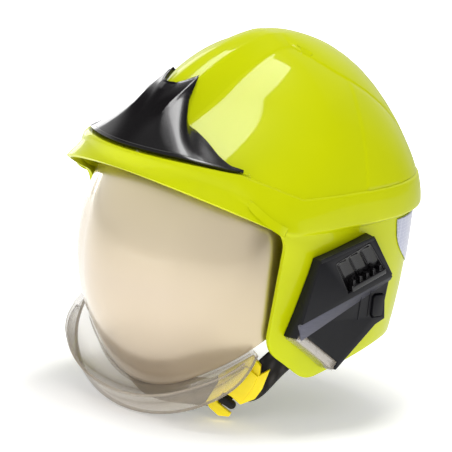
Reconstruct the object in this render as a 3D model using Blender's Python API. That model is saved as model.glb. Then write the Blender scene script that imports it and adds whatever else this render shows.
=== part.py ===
"""Firefighter helmet: jet-style shell, front plate, raising face shield and ocular visor,
side covers with lamp and mask rack, liner, head harness with ratchet, and chin strap.
Metres, +Z up, the wearer looks along -Y. The origin is midway along the visors' pivot axis."""

import math

import bmesh
import bpy
from mathutils import Matrix, Vector

MM = 0.001

# Fits between pieces
FIT = 0.3 * MM
SKIN_GAP = 0.5 * MM

# Shell: one oval dome, described by its plan outline and by how it narrows above and below the ring level
SHELL_HALF_WIDTH = 121 * MM
SHELL_FRONT = 165 * MM
SHELL_REAR = 149.5 * MM
SHELL_MIDDLE_Y = -8.5 * MM
SHELL_RING_LEVEL = 47 * MM
SHELL_DOME_RISE = 136 * MM
SHELL_SKIRT_DROP = 290 * MM
SHELL_DROP_POWER = 2.2
SHELL_RISE_POWERS = (1.65, 2.02)
SHELL_RING_POWER = 2.7
SHELL_TOP_POWERS = (1.15, 2.04)
SHELL_POINT_START = -2 * MM
SHELL_POINT_SPAN = 100 * MM
SHELL_WALL = 4 * MM

# Shell creases: the dome's lower crease, the brim's lower step, the brow and the free edge
CREASE_FRONT_Z = 100 * MM
CREASE_WING_Z = 92 * MM
CREASE_CORNER_Z = 72 * MM
CREASE_REAR_Z = 76 * MM
CREASE_FRONT_ANGLE = 40
CREASE_CORNER_ANGLE = 66
CREASE_BACK_ANGLE = 145
CREASE_INSET = 17 * MM
CREASE_FLARE_END = 58
CREASE_FLARE_SPAN = 25
BRIM_SIDE_Z = 44 * MM
BRIM_REAR_Z = 51 * MM
BRIM_STEP = 5 * MM
BRIM_STEP_FALL = 4 * MM
BRIM_STEP_START = 70
BRIM_STEP_SPAN = 60
BRIM_BROW_SHARE = 0.45
BROW_BASE_Z = 6 * MM
BROW_SLOPE = 0.445
BROW_FLARE = 9 * MM
BROW_FLARE_END = 95
BROW_FLARE_SPAN = 60
FLARE_ABOVE = 15 * MM
FLARE_BELOW = 30 * MM
BROW_CORNER_ANGLE = 59.5
CHEEK_FRONT_ANGLE = 57
CHEEK_LOW_Z = -62 * MM
CHEEK_TIP_ANGLE = 80
CHEEK_TIP_Z = -93 * MM
NAPE_SIDE_ANGLE = 128
NAPE_SIDE_Z = -68 * MM
NAPE_Z = -57 * MM
EDGE_ROUND = 16 * MM
BROW_PLAIN_ANGLE = 50
EDGE_FAN = (50, 58, 72, 94, 130, 180)
BRIM_LEAN = 0.3
SKIRT_ROWS = (0, 0.3, 0.6, 0.85, 1)
DOME_LINES = (0.3, 0.6, 0.85, 1)

# Crest: a flat-topped comb with sloping shoulders, tallest at the front
RIDGE_HALF = 8.5 * MM
BAND_HALF = 24 * MM
BAND_REAR_WIDER = 40 * MM
BAND_REAR_RUN = 20 * MM
CREST_FRONT_RISE = 11.3 * MM
CREST_TOP_RISE = 4.6 * MM
CREST_RUN = 105 * MM
CREST_FRONT_Y = -135 * MM
CREST_REAR_Y = 134 * MM
CREST_FADE = 20 * MM

# Front plate
PLATE_GAP = 1.2 * MM
PLATE_THICK = 3.5 * MM
PLATE_LEDGE = 2.5 * MM
PLATE_PANEL_ANGLE = 17
PLATE_TIP_ANGLE = 41
PLATE_PANEL_TOP = [(0 * MM, -114 * MM), (4 * MM, -106 * MM), (9 * MM, -97 * MM)]
PLATE_WING_TOP = [
    (14 * MM, -107 * MM),
    (19 * MM, -116 * MM),
    (26 * MM, -120 * MM),
    (36 * MM, -118 * MM),
    (50 * MM, -117 * MM),
    (64 * MM, -117 * MM),
    (74 * MM, -115 * MM),
]
PLATE_TIP_RISE = 2 * MM
PLATE_ROWS = 6

# Face shield: a surface turned about the pivot axis, with a clear lip round its lower edge
SHIELD_SIDE_ROUND = 5 * MM
SHIELD_CORE = 42 * MM
SHIELD_BULGE = 118 * MM
SHIELD_THICK = 3 * MM
SHIELD_TOP_ANGLE = 34
SHIELD_LOW_ANGLE = -44.5
SHIELD_LOW_SIDE_RISE = 9.5
LIP_FLANGE = 32 * MM
LIP_FLANGE_TILT = -7
LIP_SKIRT = 27 * MM
LIP_SKIRT_TILT = -135
LIP_THICK = 3 * MM
LIP_FADE_POWER = 5
LIP_SIDE_MARGIN = 5 * MM

# Ocular visor, shown stowed above the brow
OCULAR_SIDE_ROUND = 4 * MM
OCULAR_CORE = 34 * MM
OCULAR_BULGE = 116 * MM
OCULAR_THICK = 2.5 * MM
OCULAR_TOP_ANGLE = 80
OCULAR_LOW_ANGLE = 38
OCULAR_NOSE_RISE = 8
OCULAR_NOSE_HALF = 22 * MM

# Pivots, listed from the shell wall inwards
BUSH_LENGTH = 5 * MM
SHIELD_ARM_THICK = 3 * MM
SPACER_LENGTH = 4 * MM
OCULAR_ARM_THICK = 2.5 * MM
BOLT_HEAD = 3 * MM
BOLT_HEAD_RADIUS = 9 * MM
BOLT_RADIUS = 4 * MM
BOLT_CHAMFER = 1 * MM
BUSH_RADIUS = 11 * MM
ARM_HUB_RADIUS = 13 * MM
ARM_SPREAD = 38

# Impact liner and head harness
LINER_ARM_GAP = 2 * MM
LINER_FRONT = 115 * MM
LINER_DOME_RISE = 90 * MM
LINER_SKIRT_DROP = 200 * MM
LINER_POWER = 2.0
LINER_THICK = 16 * MM
LINER_FRONT_Z = 52 * MM
LINER_SIDE_Z = 36 * MM
LINER_REAR_Z = 0 * MM
BAND_THICK = 2 * MM
BAND_LOW_Z = 25 * MM
BAND_TOP_Z = 53 * MM
BAND_FRONT = 96 * MM
BAND_REAR = 106 * MM
SWEAT_PAD_THICK = 6 * MM
SWEAT_PAD_EDGE = 2.5 * MM
SWEAT_PAD_HALF_ANGLE = 62
SWEAT_PAD_INSET_Z = 2 * MM
CROWN_STRAP_WIDTH = 22 * MM
CROWN_STRAP_THICK = 1.5 * MM
CROWN_STRAP_RISE = 54 * MM
CROWN_STRAP_FRONT_Y = -48 * MM
CROWN_STRAP_REAR_Y = 34 * MM
CROWN_LACE_GAP = 2 * MM
CRADLE_HALF_ANGLE = 36
CRADLE_LOW_SHARE = 0.8
CRADLE_LOW_Z = -46 * MM
CRADLE_THICK = 3 * MM
RATCHET_Z = -25 * MM
RATCHET_HALF_WIDTH = 32 * MM
RATCHET_HALF_HEIGHT = 14 * MM
RATCHET_DEPTH = 9 * MM
RATCHET_END_POWER = 0.4
RATCHET_SIDE_POWER = 0.6
KNOB_RADIUS = 17 * MM
KNOB_LENGTH = 9 * MM
KNOB_FLUTE = 1.2 * MM
KNOB_FLUTES = 12

# Side covers, outlined in side view
COVER_OUTLINE = [
    (-48 * MM, 22 * MM),
    (19 * MM, 38 * MM),
    (48 * MM, 2 * MM),
    (45 * MM, -24 * MM),
    (47 * MM, -41 * MM),
    (36 * MM, -46 * MM),
    (-10 * MM, -83 * MM),
    (-66 * MM, -48 * MM),
]
COVER_RISE = 10 * MM
COVER_TAPER = 3 * MM
COVER_STEP = 2.2 * MM
COVER_STEP_FRONT_Z = -36 * MM
COVER_STEP_REAR_Z = -2 * MM
COVER_STEP_FRONT_Y = -63 * MM
COVER_STEP_REAR_Y = 47 * MM
COVER_SEAT = 4 * MM
RACK_OUTLINE = [
    (-27 * MM, 16 * MM),
    (13 * MM, 31 * MM),
    (38 * MM, 3 * MM),
    (-7 * MM, -12 * MM),
]
RACK_DEPTH = 4.5 * MM
RACK_BAR = 5 * MM
RACK_END = 3 * MM
RACK_REACH = 7 * MM
RACK_TEETH = 5
TOOTH_WIDTH = 4 * MM
TOOTH_HEIGHT = 5 * MM
TOOTH_ROOT = 1 * MM
TOOTH_START = 0.16
TOOTH_TIP_SHARE = 0.7
SWITCH_Y = 33 * MM
SWITCH_Z = -27 * MM
SWITCH_HALF_WIDTH = 6.5 * MM
SWITCH_HALF_HEIGHT = 10 * MM
SWITCH_DEPTH = 5 * MM
SWITCH_PROUD = 1.8 * MM
SWITCH_TRAVEL = 1.5 * MM
SWITCH_TAPER = 0.6 * MM
SWITCH_CHAMFER = 2 * MM
LENS_WIDTH = 9 * MM
LENS_WALL = 1.5 * MM
LENS_END = 4 * MM
LENS_DROP = 0.5 * MM

# Rear reflector
REFLECTOR_THICK = 0.8 * MM
REFLECTOR_HALF_ANGLE = 56
REFLECTOR_DROP = 62 * MM
REFLECTOR_END = 3 * MM
REFLECTOR_TOP_GAP = 6 * MM

# Chin strap and its buckle. The strap's side places and the buckle's centre are measured in from the shell's
# half-width, its chin places are shares of that half-width with their own Y and Z, and the buckle is outlined
# in its own plane: rearwards and up from its centre
STRAP_WIDTH = 24 * MM
STRAP_THICK = 2 * MM
STRAP_LAP = 2 * MM
ANCHOR_ANGLE = 82
ANCHOR_HALF_ANGLE = 5.5
ANCHOR_Y = -20 * MM
ANCHOR_Z = -62 * MM
ANCHOR_HALF_HEIGHT = 12 * MM
ANCHOR_THICK = 3 * MM
STRAP_SIDE = [
    (24 * MM, -34 * MM, -70 * MM),
    (32 * MM, -44 * MM, -81 * MM),
]
STRAP_FAR_CHEEK = (37 * MM, -58 * MM, -94 * MM)
STRAP_REAR_END = [(10 * MM, -4 * MM), (2 * MM, -8 * MM)]
STRAP_FRONT_END = [(-12 * MM, -8 * MM), (-24 * MM, -15 * MM)]
STRAP_CHIN = [
    (0.2, -88 * MM, -116 * MM),
    (0, -92 * MM, -118 * MM),
    (-0.2, -88 * MM, -116 * MM),
    (-0.5, -74 * MM, -106 * MM),
]
STRAP_FACING = 0.41
BUCKLE_CENTRE = (49 * MM, -66 * MM, -98 * MM)
BUCKLE_TURN = 33
BUCKLE_THICK = 5 * MM
BUCKLE_OUTLINE = [
    (-20 * MM, 2 * MM),
    (8 * MM, 24 * MM),
    (16 * MM, 16 * MM),
    (16 * MM, 8 * MM),
    (24 * MM, 14 * MM),
    (19 * MM, -5 * MM),
    (14 * MM, -14 * MM),
    (2 * MM, -21 * MM),
    (-6.5 * MM, -15 * MM),
    (-14 * MM, -12.5 * MM),
    (-18.5 * MM, -21.5 * MM),
    (-5 * MM, -29.5 * MM),
    (-6.5 * MM, -33 * MM),
    (-16 * MM, -33.5 * MM),
    (-24.5 * MM, -27.5 * MM),
    (-28 * MM, -23 * MM),
    (-19 * MM, -4 * MM),
]
LEVER_OUTLINE = [
    (-15 * MM, -2.5 * MM),
    (5 * MM, 13 * MM),
    (15 * MM, 7 * MM),
    (12 * MM, -3 * MM),
    (8 * MM, -11 * MM),
    (2 * MM, -19.5 * MM),
    (-6 * MM, -14 * MM),
    (-13 * MM, -11 * MM),
]
LEVER_THICK = 3.2 * MM
ROLLER_START = (-16 * MM, -17.3 * MM)
ROLLER_END = (-2 * MM, -23.8 * MM)
ROLLER_RADIUS = 4 * MM
ROLLER_OUT = 1.2 * MM

for old in list(bpy.data.objects):
    bpy.data.objects.remove(old, do_unlink=True)


def material(name, colour, roughness, metallic=0.0):
    """A plain finish with the piece's own colour."""
    made = bpy.data.materials.new(name)
    made.use_nodes = True
    shader = made.node_tree.nodes["Principled BSDF"]
    shader.inputs["Base Color"].default_value = (*colour, 1)
    shader.inputs["Roughness"].default_value = roughness
    shader.inputs["Metallic"].default_value = metallic
    return made


SHELL_PAINT = material("shell_paint", (0.57, 0.63, 0.01), 0.2)
GLOSS_BLACK = material("gloss_black", (0.01, 0.01, 0.011), 0.15)
SATIN_BLACK = material("satin_black", (0.02, 0.02, 0.025), 0.4)
GOLD_COAT = material("gold_coat", (0.75, 0.6, 0.4), 0.1, 0.3)
CLEAR_PLASTIC = material("clear_plastic", (0.85, 0.83, 0.82), 0.05)
YELLOW_PLASTIC = material("yellow_plastic", (0.95, 0.75, 0.0), 0.35)
WEBBING = material("webbing", (0.025, 0.02, 0.022), 0.85)
FOAM = material("liner_foam", (0.05, 0.05, 0.055), 0.9)
REFLECTIVE = material("reflective_film", (0.45, 0.48, 0.6), 0.3, 0.5)
STEEL = material("bolt_steel", (0.55, 0.55, 0.57), 0.3, 1.0)
BRIGHT = material("lamp_reflector", (0.8, 0.8, 0.82), 0.12, 1.0)


def add_object(name, bm, finish, origin=(0, 0, 0)):
    """Turns the mesh's faces outwards and puts it in the scene with its origin at the point given."""
    bmesh.ops.recalc_face_normals(bm, faces=bm.faces)
    bmesh.ops.translate(bm, verts=bm.verts, vec=-Vector(origin))
    mesh = bpy.data.meshes.new(name)
    bm.to_mesh(mesh)
    bm.free()
    mesh.materials.append(finish)
    mesh.shade_smooth()
    mesh.set_sharp_from_angle(angle=math.radians(35))
    obj = bpy.data.objects.new(name, mesh)
    obj.location = origin
    bpy.context.scene.collection.objects.link(obj)
    return obj


def cut(obj, bm, name, operation="DIFFERENCE"):
    """Adds a Boolean with a hidden cutter made from the mesh given."""
    cutter = add_object(name, bm, SATIN_BLACK)
    cutter.hide_render = True
    cutter.display_type = "WIRE"
    boolean = obj.modifiers.new(name, "BOOLEAN")
    boolean.operation = operation
    boolean.object = cutter


def slab(outer, inner, wrap=False, capped=False):
    """A closed solid between two sheets of points. wrap joins each row's ends, capped fills the last row."""
    bm = bmesh.new()
    sheets = [[[bm.verts.new(point) for point in row] for row in rows] for rows in (outer, inner)]
    columns = len(outer[0])
    steps = [(i, (i + 1) % columns) for i in range(columns if wrap else columns - 1)]
    for sheet in sheets:
        for lower, upper in zip(sheet, sheet[1:]):
            for i, j in steps:
                bm.faces.new((lower[i], lower[j], upper[j], upper[i]))
    first, second = sheets
    for i, j in steps:
        bm.faces.new((first[0][i], first[0][j], second[0][j], second[0][i]))
    if capped:
        for sheet in sheets:
            bm.faces.new(sheet[-1])
    else:
        for i, j in steps:
            bm.faces.new((first[-1][i], first[-1][j], second[-1][j], second[-1][i]))
    if not wrap:
        for column in (0, -1):
            for k in range(len(outer) - 1):
                bm.faces.new((first[k][column], first[k + 1][column], second[k + 1][column], second[k][column]))
    return bm


def turned(profile, place, segments=32):
    """A solid of revolution. The profile holds (along, radius) pairs, and place maps local X, Y, Z points."""
    bm = bmesh.new()
    rings = []
    for along, radius in profile:
        ring = []
        for turn in spread(0, 2 * math.pi, segments)[:-1]:
            ring.append(bm.verts.new(place @ Vector((along, radius * math.cos(turn), radius * math.sin(turn)))))
        rings.append(ring)
    for low, high in zip(rings, rings[1:]):
        for i in range(segments):
            j = (i + 1) % segments
            bm.faces.new((low[i], low[j], high[j], high[i]))
    bm.faces.new(rings[0])
    bm.faces.new(rings[-1])
    return bm


def prism(outline, low, high, place, taper=0.0):
    """An outline in local Y and Z, raised along local X, drawn in by taper at the high end."""
    middle = sum((Vector((0, y, z)) for y, z in outline), Vector()) / len(outline)
    bm = bmesh.new()
    bottom = []
    top = []
    for y, z in outline:
        corner = Vector((0, y, z))
        reach = (corner - middle).length
        drawn = middle + (corner - middle) * (reach - taper) / reach
        bottom.append(bm.verts.new(place @ (corner + Vector((low, 0, 0)))))
        top.append(bm.verts.new(place @ (drawn + Vector((high, 0, 0)))))
    bm.faces.new(bottom)
    bm.faces.new(top)
    for i in range(len(outline)):
        j = (i + 1) % len(outline)
        bm.faces.new((bottom[i], bottom[j], top[j], top[i]))
    return bm


def mix(a, b, share):
    return a + (b - a) * share


def ease(share):
    """0 to 1 with level ends."""
    share = min(1, max(0, share))
    return share * share * (3 - 2 * share)


def spread(low, high, count):
    return [mix(low, high, i / count) for i in range(count + 1)]


def solve(low, high, test):
    """The value between low and high where test turns from False to True."""
    for _ in range(36):
        middle = (low + high) / 2
        if test(middle):
            high = middle
        else:
            low = middle
    return (low + high) / 2


class Oval:
    """A dome with an oval plan round the middle line. It narrows above and below the ring level,
    by one power ahead and another behind, and its plan grows more pointed towards the top."""

    def __init__(self, half_width, front, rear, rise, drop, rise_powers, ring_power, top_powers):
        self.half_width = half_width
        self.front = front
        self.rear = rear
        self.rise = rise
        self.drop = drop
        self.rise_powers = rise_powers
        self.ring_power = ring_power
        self.top_powers = top_powers

    def radius(self, angle, z):
        """Distance from the middle line, at an angle in degrees from straight ahead."""
        turn = math.radians(angle)
        ahead = 0.5 + 0.5 * math.cos(turn)
        height = z - SHELL_RING_LEVEL
        rise_power = mix(self.rise_powers[1], self.rise_powers[0], ahead)
        reach = height / self.rise
        if height < 0:
            rise_power = SHELL_DROP_POWER
            reach = -height / self.drop
        share = max(0, 1 - reach**rise_power) ** (1 / rise_power)
        top_power = mix(self.top_powers[1], self.top_powers[0], ahead)
        power = mix(self.ring_power, top_power, ease((height - SHELL_POINT_START) / SHELL_POINT_SPAN))
        depth = self.front if math.cos(turn) > 0 else self.rear
        side = (abs(math.sin(turn)) / self.half_width) ** power
        along = (abs(math.cos(turn)) / depth) ** power
        return share * (side + along) ** (-1 / power)

    def point(self, angle, z, out=0.0):
        turn = math.radians(angle)
        radius = self.radius(angle, z) + out
        return Vector((radius * math.sin(turn), SHELL_MIDDLE_Y - radius * math.cos(turn), z))

    def outside(self, x, y, z):
        angle = math.degrees(math.atan2(abs(x), SHELL_MIDDLE_Y - y))
        return math.hypot(x, y - SHELL_MIDDLE_Y) > self.radius(angle, z)

    def half_at(self, y, z):
        """Half-width of the dome at this place along it and at this height."""
        return solve(0, 2 * self.half_width, lambda x: self.outside(x, y, z))

    def depth_at(self, x, z, rear):
        """How far the dome reaches ahead of or behind its middle, this far out and at this height."""
        sign = 1 if rear else -1
        return solve(0, 2 * self.front, lambda reach: self.outside(x, SHELL_MIDDLE_Y + sign * reach, z))

    def height(self, x, y):
        top = SHELL_RING_LEVEL + self.rise
        return solve(SHELL_RING_LEVEL, top, lambda z: self.outside(x, y, z))


SHELL = Oval(
    SHELL_HALF_WIDTH,
    SHELL_FRONT,
    SHELL_REAR,
    SHELL_DOME_RISE,
    SHELL_SKIRT_DROP,
    SHELL_RISE_POWERS,
    SHELL_RING_POWER,
    SHELL_TOP_POWERS,
)


def crease_level(angle):
    """Height of the dome's lower crease round the shell."""
    if angle < CREASE_FRONT_ANGLE:
        return mix(CREASE_FRONT_Z, CREASE_WING_Z, (angle / CREASE_FRONT_ANGLE) ** 2)
    if angle < CREASE_CORNER_ANGLE:
        across = (angle - CREASE_FRONT_ANGLE) / (CREASE_CORNER_ANGLE - CREASE_FRONT_ANGLE)
        return mix(CREASE_WING_Z, CREASE_CORNER_Z, across)
    return mix(CREASE_CORNER_Z, CREASE_REAR_Z, (angle - CREASE_CORNER_ANGLE) / (180 - CREASE_CORNER_ANGLE))


def brow_level(angle):
    """Height of the brow edge, which lies in one sloping plane."""
    z = CREASE_FRONT_Z
    for _ in range(8):
        z = BROW_BASE_Z - BROW_SLOPE * SHELL.point(angle, z, brow_flare(angle)).y
    return z


def brow_flare(angle):
    """How far the brow edge stands out past the dome."""
    return BROW_FLARE * ease((BROW_FLARE_END - angle) / BROW_FLARE_SPAN)


def brim_level(angle):
    """Height of the brim's lower step, which runs above the brow at the front."""
    if angle < CREASE_CORNER_ANGLE:
        front = mix(brow_level(angle), crease_level(angle), BRIM_BROW_SHARE)
        across = (angle - CREASE_FRONT_ANGLE) / (CREASE_CORNER_ANGLE - CREASE_FRONT_ANGLE)
        return mix(front, BRIM_SIDE_Z, ease(across))
    return mix(BRIM_SIDE_Z, BRIM_REAR_Z, (angle - CREASE_CORNER_ANGLE) / (180 - CREASE_CORNER_ANGLE))


def crease_flare(angle):
    """How far the crease stands out past the dome over the brow, so that the brow band is upright."""
    brow = SHELL.radius(angle, brow_level(angle)) + brow_flare(angle)
    target = brow - CREASE_INSET * ease(angle / CREASE_FRONT_ANGLE)
    fade = ease((CREASE_FLARE_END - angle) / CREASE_FLARE_SPAN)
    return fade * (target - SHELL.radius(angle, crease_level(angle)))


def shell_wall(angle, z, out=0.0):
    """A point on the shell's outer face below the dome crease, with the flared brow and the stepped brim."""
    above = z - brow_level(angle)
    window = ease(1 - above / FLARE_ABOVE) if above > 0 else ease(1 + above / FLARE_BELOW)
    out += crease_flare(angle) * ease(above / (crease_level(angle) - brow_level(angle)))
    step = BRIM_STEP * ease((angle - BRIM_STEP_START) / BRIM_STEP_SPAN)
    under = ease((brim_level(angle) - z) / BRIM_STEP_FALL)
    return SHELL.point(angle, z, out + brow_flare(angle) * window - step * under)


def band_half(y):
    """Half-width of the crest band, which widens behind the crown."""
    return BAND_HALF + BAND_REAR_WIDER * (1 - math.exp(-max(0, y) / BAND_REAR_RUN))


def crest_rise(x, y):
    """How far the crest stands above the dome: level over the ridge, then falling to the band's edge."""
    fade = ease((y - CREST_FRONT_Y) / CREST_FADE) * ease((CREST_REAR_Y - y) / CREST_FADE)
    height = mix(CREST_TOP_RISE, CREST_FRONT_RISE, max(0, -y / CREST_RUN))
    across = (band_half(y) - abs(x)) / (band_half(y) - RIDGE_HALF)
    return fade * height * min(1, max(0, across))


def dome_point(x, y, out=0.0):
    """A point on the dome above its crease, moved out along the dome's normal."""
    tiny = 0.5 * MM
    slope_x = (SHELL.height(x + tiny, y) - SHELL.height(x - tiny, y)) / (2 * tiny)
    slope_y = (SHELL.height(x, y + tiny) - SHELL.height(x, y - tiny)) / (2 * tiny)
    normal = Vector((-slope_x, -slope_y, 1)).normalized()
    return Vector((x, y, SHELL.height(x, y))) + normal * (crest_rise(x, y) + out)


class EdgePath:
    """The shell's free edge from the brow corner round the cheek to the nape, unrolled, with round corners."""

    def __init__(self):
        corners = [
            (BROW_PLAIN_ANGLE, brow_level(BROW_PLAIN_ANGLE)),
            (BROW_CORNER_ANGLE, brow_level(BROW_CORNER_ANGLE)),
            (CHEEK_FRONT_ANGLE, CHEEK_LOW_Z),
            (CHEEK_TIP_ANGLE, CHEEK_TIP_Z),
            (NAPE_SIDE_ANGLE, NAPE_SIDE_Z),
            (180, NAPE_Z),
        ]
        path = [Vector((math.radians(angle) * SHELL_HALF_WIDTH, z)) for angle, z in corners]
        self.points = [path[0]]
        for before, corner, after in zip(path, path[1:], path[2:]):
            start = corner + (before - corner).normalized() * min(EDGE_ROUND, (before - corner).length / 2)
            end = corner + (after - corner).normalized() * min(EDGE_ROUND, (after - corner).length / 2)
            for t in spread(0, 1, 8):
                self.points.append(mix(mix(start, corner, t), mix(corner, end, t), t))
        self.points.append(path[-1])
        self.lengths = [0.0]
        for a, b in zip(self.points, self.points[1:]):
            self.lengths.append(self.lengths[-1] + (b - a).length)
        runs = [0.0]
        for a, b in zip(path, path[1:]):
            runs.append(runs[-1] + (b - a).length)
        self.marks = [run / runs[-1] for run in runs]

    def at(self, share):
        """(angle, height) at this share of the path's length."""
        want = share * self.lengths[-1]
        k = max(i for i in range(len(self.points) - 1) if self.lengths[i] <= want + 1e-9)
        run = self.lengths[k + 1] - self.lengths[k]
        found = mix(self.points[k], self.points[k + 1], (want - self.lengths[k]) / run)
        return math.degrees(found.x / SHELL_HALF_WIDTH), found.y

    def under(self, angle):
        """(angle, height) of the edge below the crease at this angle."""
        if angle <= BROW_PLAIN_ANGLE:
            return angle, brow_level(angle)
        for i in range(len(EDGE_FAN) - 1):
            if angle <= EDGE_FAN[i + 1]:
                across = (angle - EDGE_FAN[i]) / (EDGE_FAN[i + 1] - EDGE_FAN[i])
                return self.at(mix(self.marks[i], self.marks[i + 1], across))
        return 180, NAPE_Z


EDGE = EdgePath()


def crest_line(k, y, side_x):
    """Distance from the middle of the dome's k-th line: ridge edge, band edge, then out to the side."""
    band = band_half(y)
    lines = (0, RIDGE_HALF / 2, RIDGE_HALF, (RIDGE_HALF + band) / 2, band)
    if k < len(lines):
        return lines[k]
    return mix(band, side_x, DOME_LINES[k - len(lines)])


def shell_surface(out=0.0):
    """The shell's outer face, built as one half and mirrored. Returns the mesh."""
    bm = bmesh.new()
    count = 5 + len(DOME_LINES)
    side = spread(CREASE_FRONT_ANGLE, BROW_PLAIN_ANGLE, 3)
    side += spread(BROW_PLAIN_ANGLE, EDGE_FAN[3], 12)[1:]
    side += spread(EDGE_FAN[3], CREASE_BACK_ANGLE, 8)[1:]
    side_points = [SHELL.point(angle, crease_level(angle)) for angle in side]
    ends = []
    for rear, corner in ((False, side_points[0]), (True, side_points[-1])):
        row = []
        for k in range(count):
            x = crest_line(k, corner.y, corner.x)
            y = SHELL_MIDDLE_Y + (1 if rear else -1) * SHELL.depth_at(x, corner.z, rear)
            angle = math.degrees(math.atan2(x, SHELL_MIDDLE_Y - y))
            row.append(SHELL.point(angle, crease_level(angle)))
        ends.append(row)
    front, back = ends
    grid = []
    angles = []
    for j, corner in enumerate(side_points):
        along = (corner.y - front[-1].y) / (back[-1].y - front[-1].y)
        row = []
        for k in range(count):
            if j == 0 or j == len(side) - 1 or k == count - 1:
                point = front[k] if j == 0 else back[k] if j == len(side) - 1 else corner
                angle = math.degrees(math.atan2(point.x, SHELL_MIDDLE_Y - point.y))
                row.append(bm.verts.new(SHELL.point(angle, point.z, out + crease_flare(angle))))
                row[-1].co.x = max(0, row[-1].co.x)
                angles.append((row[-1], angle))
            else:
                y = mix(front[k].y, back[k].y, along)
                row.append(bm.verts.new(dome_point(crest_line(k, y, corner.x), y, out)))
        grid.append(row)
    for low, high in zip(grid, grid[1:]):
        for k in range(count - 1):
            bm.faces.new((low[k], low[k + 1], high[k + 1], high[k]))
    ring = sorted(angles, key=lambda pair: pair[1])
    last = [vert for vert, _ in ring]
    levels = []
    for _, angle in ring:
        edge_angle, edge_z = EDGE.under(angle)
        brim_angle = mix(angle, edge_angle, BRIM_LEAN)
        brim_z = brim_level(brim_angle)
        column = [(mix(angle, brim_angle, 0.5), mix(crease_level(angle), brim_z, 0.5))]
        column.append((brim_angle, brim_z))
        below = brim_z - min(BRIM_STEP_FALL, (brim_z - edge_z) / 4)
        column += [(mix(brim_angle, edge_angle, t), mix(below, edge_z, t)) for t in SKIRT_ROWS]
        levels.append(column)
    for row in range(len(levels[0])):
        points = [shell_wall(*column[row], out) for column in levels]
        points[0].x = 0
        points[-1].x = 0
        fresh = [bm.verts.new(point) for point in points]
        for i in range(len(fresh) - 1):
            bm.faces.new((last[i], last[i + 1], fresh[i + 1], fresh[i]))
        last = fresh
    bmesh.ops.mirror(bm, geom=bm.verts[:] + bm.edges[:] + bm.faces[:], axis="X", merge_dist=0.01 * MM)
    bmesh.ops.remove_doubles(bm, verts=bm.verts, dist=0.01 * MM)
    bmesh.ops.recalc_face_normals(bm, faces=bm.faces)
    return bm


def shell_volume(out):
    """Everything inside the shell's outer face grown by out, as a cutter for what sits on the shell."""
    bm = shell_surface(out)
    rim = [edge for edge in bm.edges if edge.is_boundary]
    centre = bm.verts.new((0, SHELL_MIDDLE_Y, CHEEK_LOW_Z))
    for edge in rim:
        bm.faces.new((*edge.verts, centre))
    return bm


def wall_half(y, z):
    """Half-width of the shell's stepped wall at this place along it and at this height."""
    angle = solve(BROW_CORNER_ANGLE, CREASE_BACK_ANGLE, lambda value: shell_wall(value, z).y > y)
    return shell_wall(angle, z).x


def pivot_stack(*lengths):
    """Faces of the pieces on the pivot, as distances from the middle, going in from the shell wall."""
    corners = [(y, z) for y in (-BUSH_RADIUS, BUSH_RADIUS) for z in (-BUSH_RADIUS, BUSH_RADIUS)]
    face = min(wall_half(y, z) for y, z in corners) - SHELL_WALL - SKIN_GAP
    faces = []
    for length in lengths:
        faces.append((face - length, face))
        face -= length + FIT
    return faces


BUSH_X, SHIELD_ARM_X, SPACER_X, OCULAR_ARM_X, BOLT_HEAD_X = pivot_stack(
    BUSH_LENGTH, SHIELD_ARM_THICK, SPACER_LENGTH, OCULAR_ARM_THICK, BOLT_HEAD
)
SIDES = (("left", 1), ("right", -1))


def mirrored(side):
    """Maps a piece modelled on the wearer's left to this side."""
    return Matrix.Diagonal((side, 1, 1, 1))


def tube(x_range, inner, outer, side):
    """A ring about the pivot axis."""
    low, high = x_range
    turns = spread(0, 2 * math.pi, 32)[:-1]
    sheets = []
    for x in (low, high):
        rows = []
        for radius in (inner, outer):
            rows.append([Vector((side * x, radius * math.cos(t), radius * math.sin(t))) for t in turns])
        sheets.append(rows)
    return slab(sheets[0], sheets[1], wrap=True)


def build_shell():
    shell = add_object("outer_shell", shell_surface(), SHELL_PAINT)
    wall = shell.modifiers.new("wall", "SOLIDIFY")
    wall.thickness = SHELL_WALL
    wall.offset = -1
    low = BUSH_X[1]
    high = SHELL_HALF_WIDTH + SHELL_WALL
    for word, side in SIDES:
        bore = turned([(low, BOLT_RADIUS + FIT), (high, BOLT_RADIUS + FIT)], mirrored(side), 24)
        cut(shell, bore, f"pivot_bore_{word}")


def build_plate():
    """The gloss plate over the brow: a flat middle panel rising to two peaks, and a swept wing each side."""
    steps = len(PLATE_PANEL_TOP) - 1
    angles = spread(0, PLATE_PANEL_ANGLE, steps)
    angles += spread(PLATE_PANEL_ANGLE, PLATE_TIP_ANGLE, len(PLATE_WING_TOP) + 1)[1:]
    columns = list(zip(angles, PLATE_PANEL_TOP + PLATE_WING_TOP + [None]))
    outer = [[] for _ in range(PLATE_ROWS + 1)]
    inner = [[] for _ in range(PLATE_ROWS + 1)]
    for side in (-1, 1):
        for angle, place in columns[:0:-1] if side < 0 else columns:
            ledge = crease_flare(angle) - PLATE_LEDGE
            foot = SHELL.point(angle, crease_level(angle) + PLATE_GAP, ledge)
            ahead = Vector((foot.x, foot.y - SHELL_MIDDLE_Y, 0)).normalized()
            slant = (ahead + Vector((0, 0, 1))).normalized() * PLATE_THICK
            ends = []
            for thick, shift in ((0, Vector()), (PLATE_THICK, slant)):
                tip = foot + shift + Vector((0, 0, PLATE_TIP_RISE)) - ahead * PLATE_TIP_RISE
                ends.append((foot + shift, dome_point(*place, PLATE_GAP + thick) if place else tip))
            for rows, (low, high) in zip((inner, outer), ends):
                for row, share in zip(rows, spread(0, 1, PLATE_ROWS)):
                    row.append(mirrored(side) @ mix(low, high, share))
    plate = add_object("front_plate", slab(outer, inner), GLOSS_BLACK)
    cut(plate, shell_volume(SKIN_GAP), "plate_seat")


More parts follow.
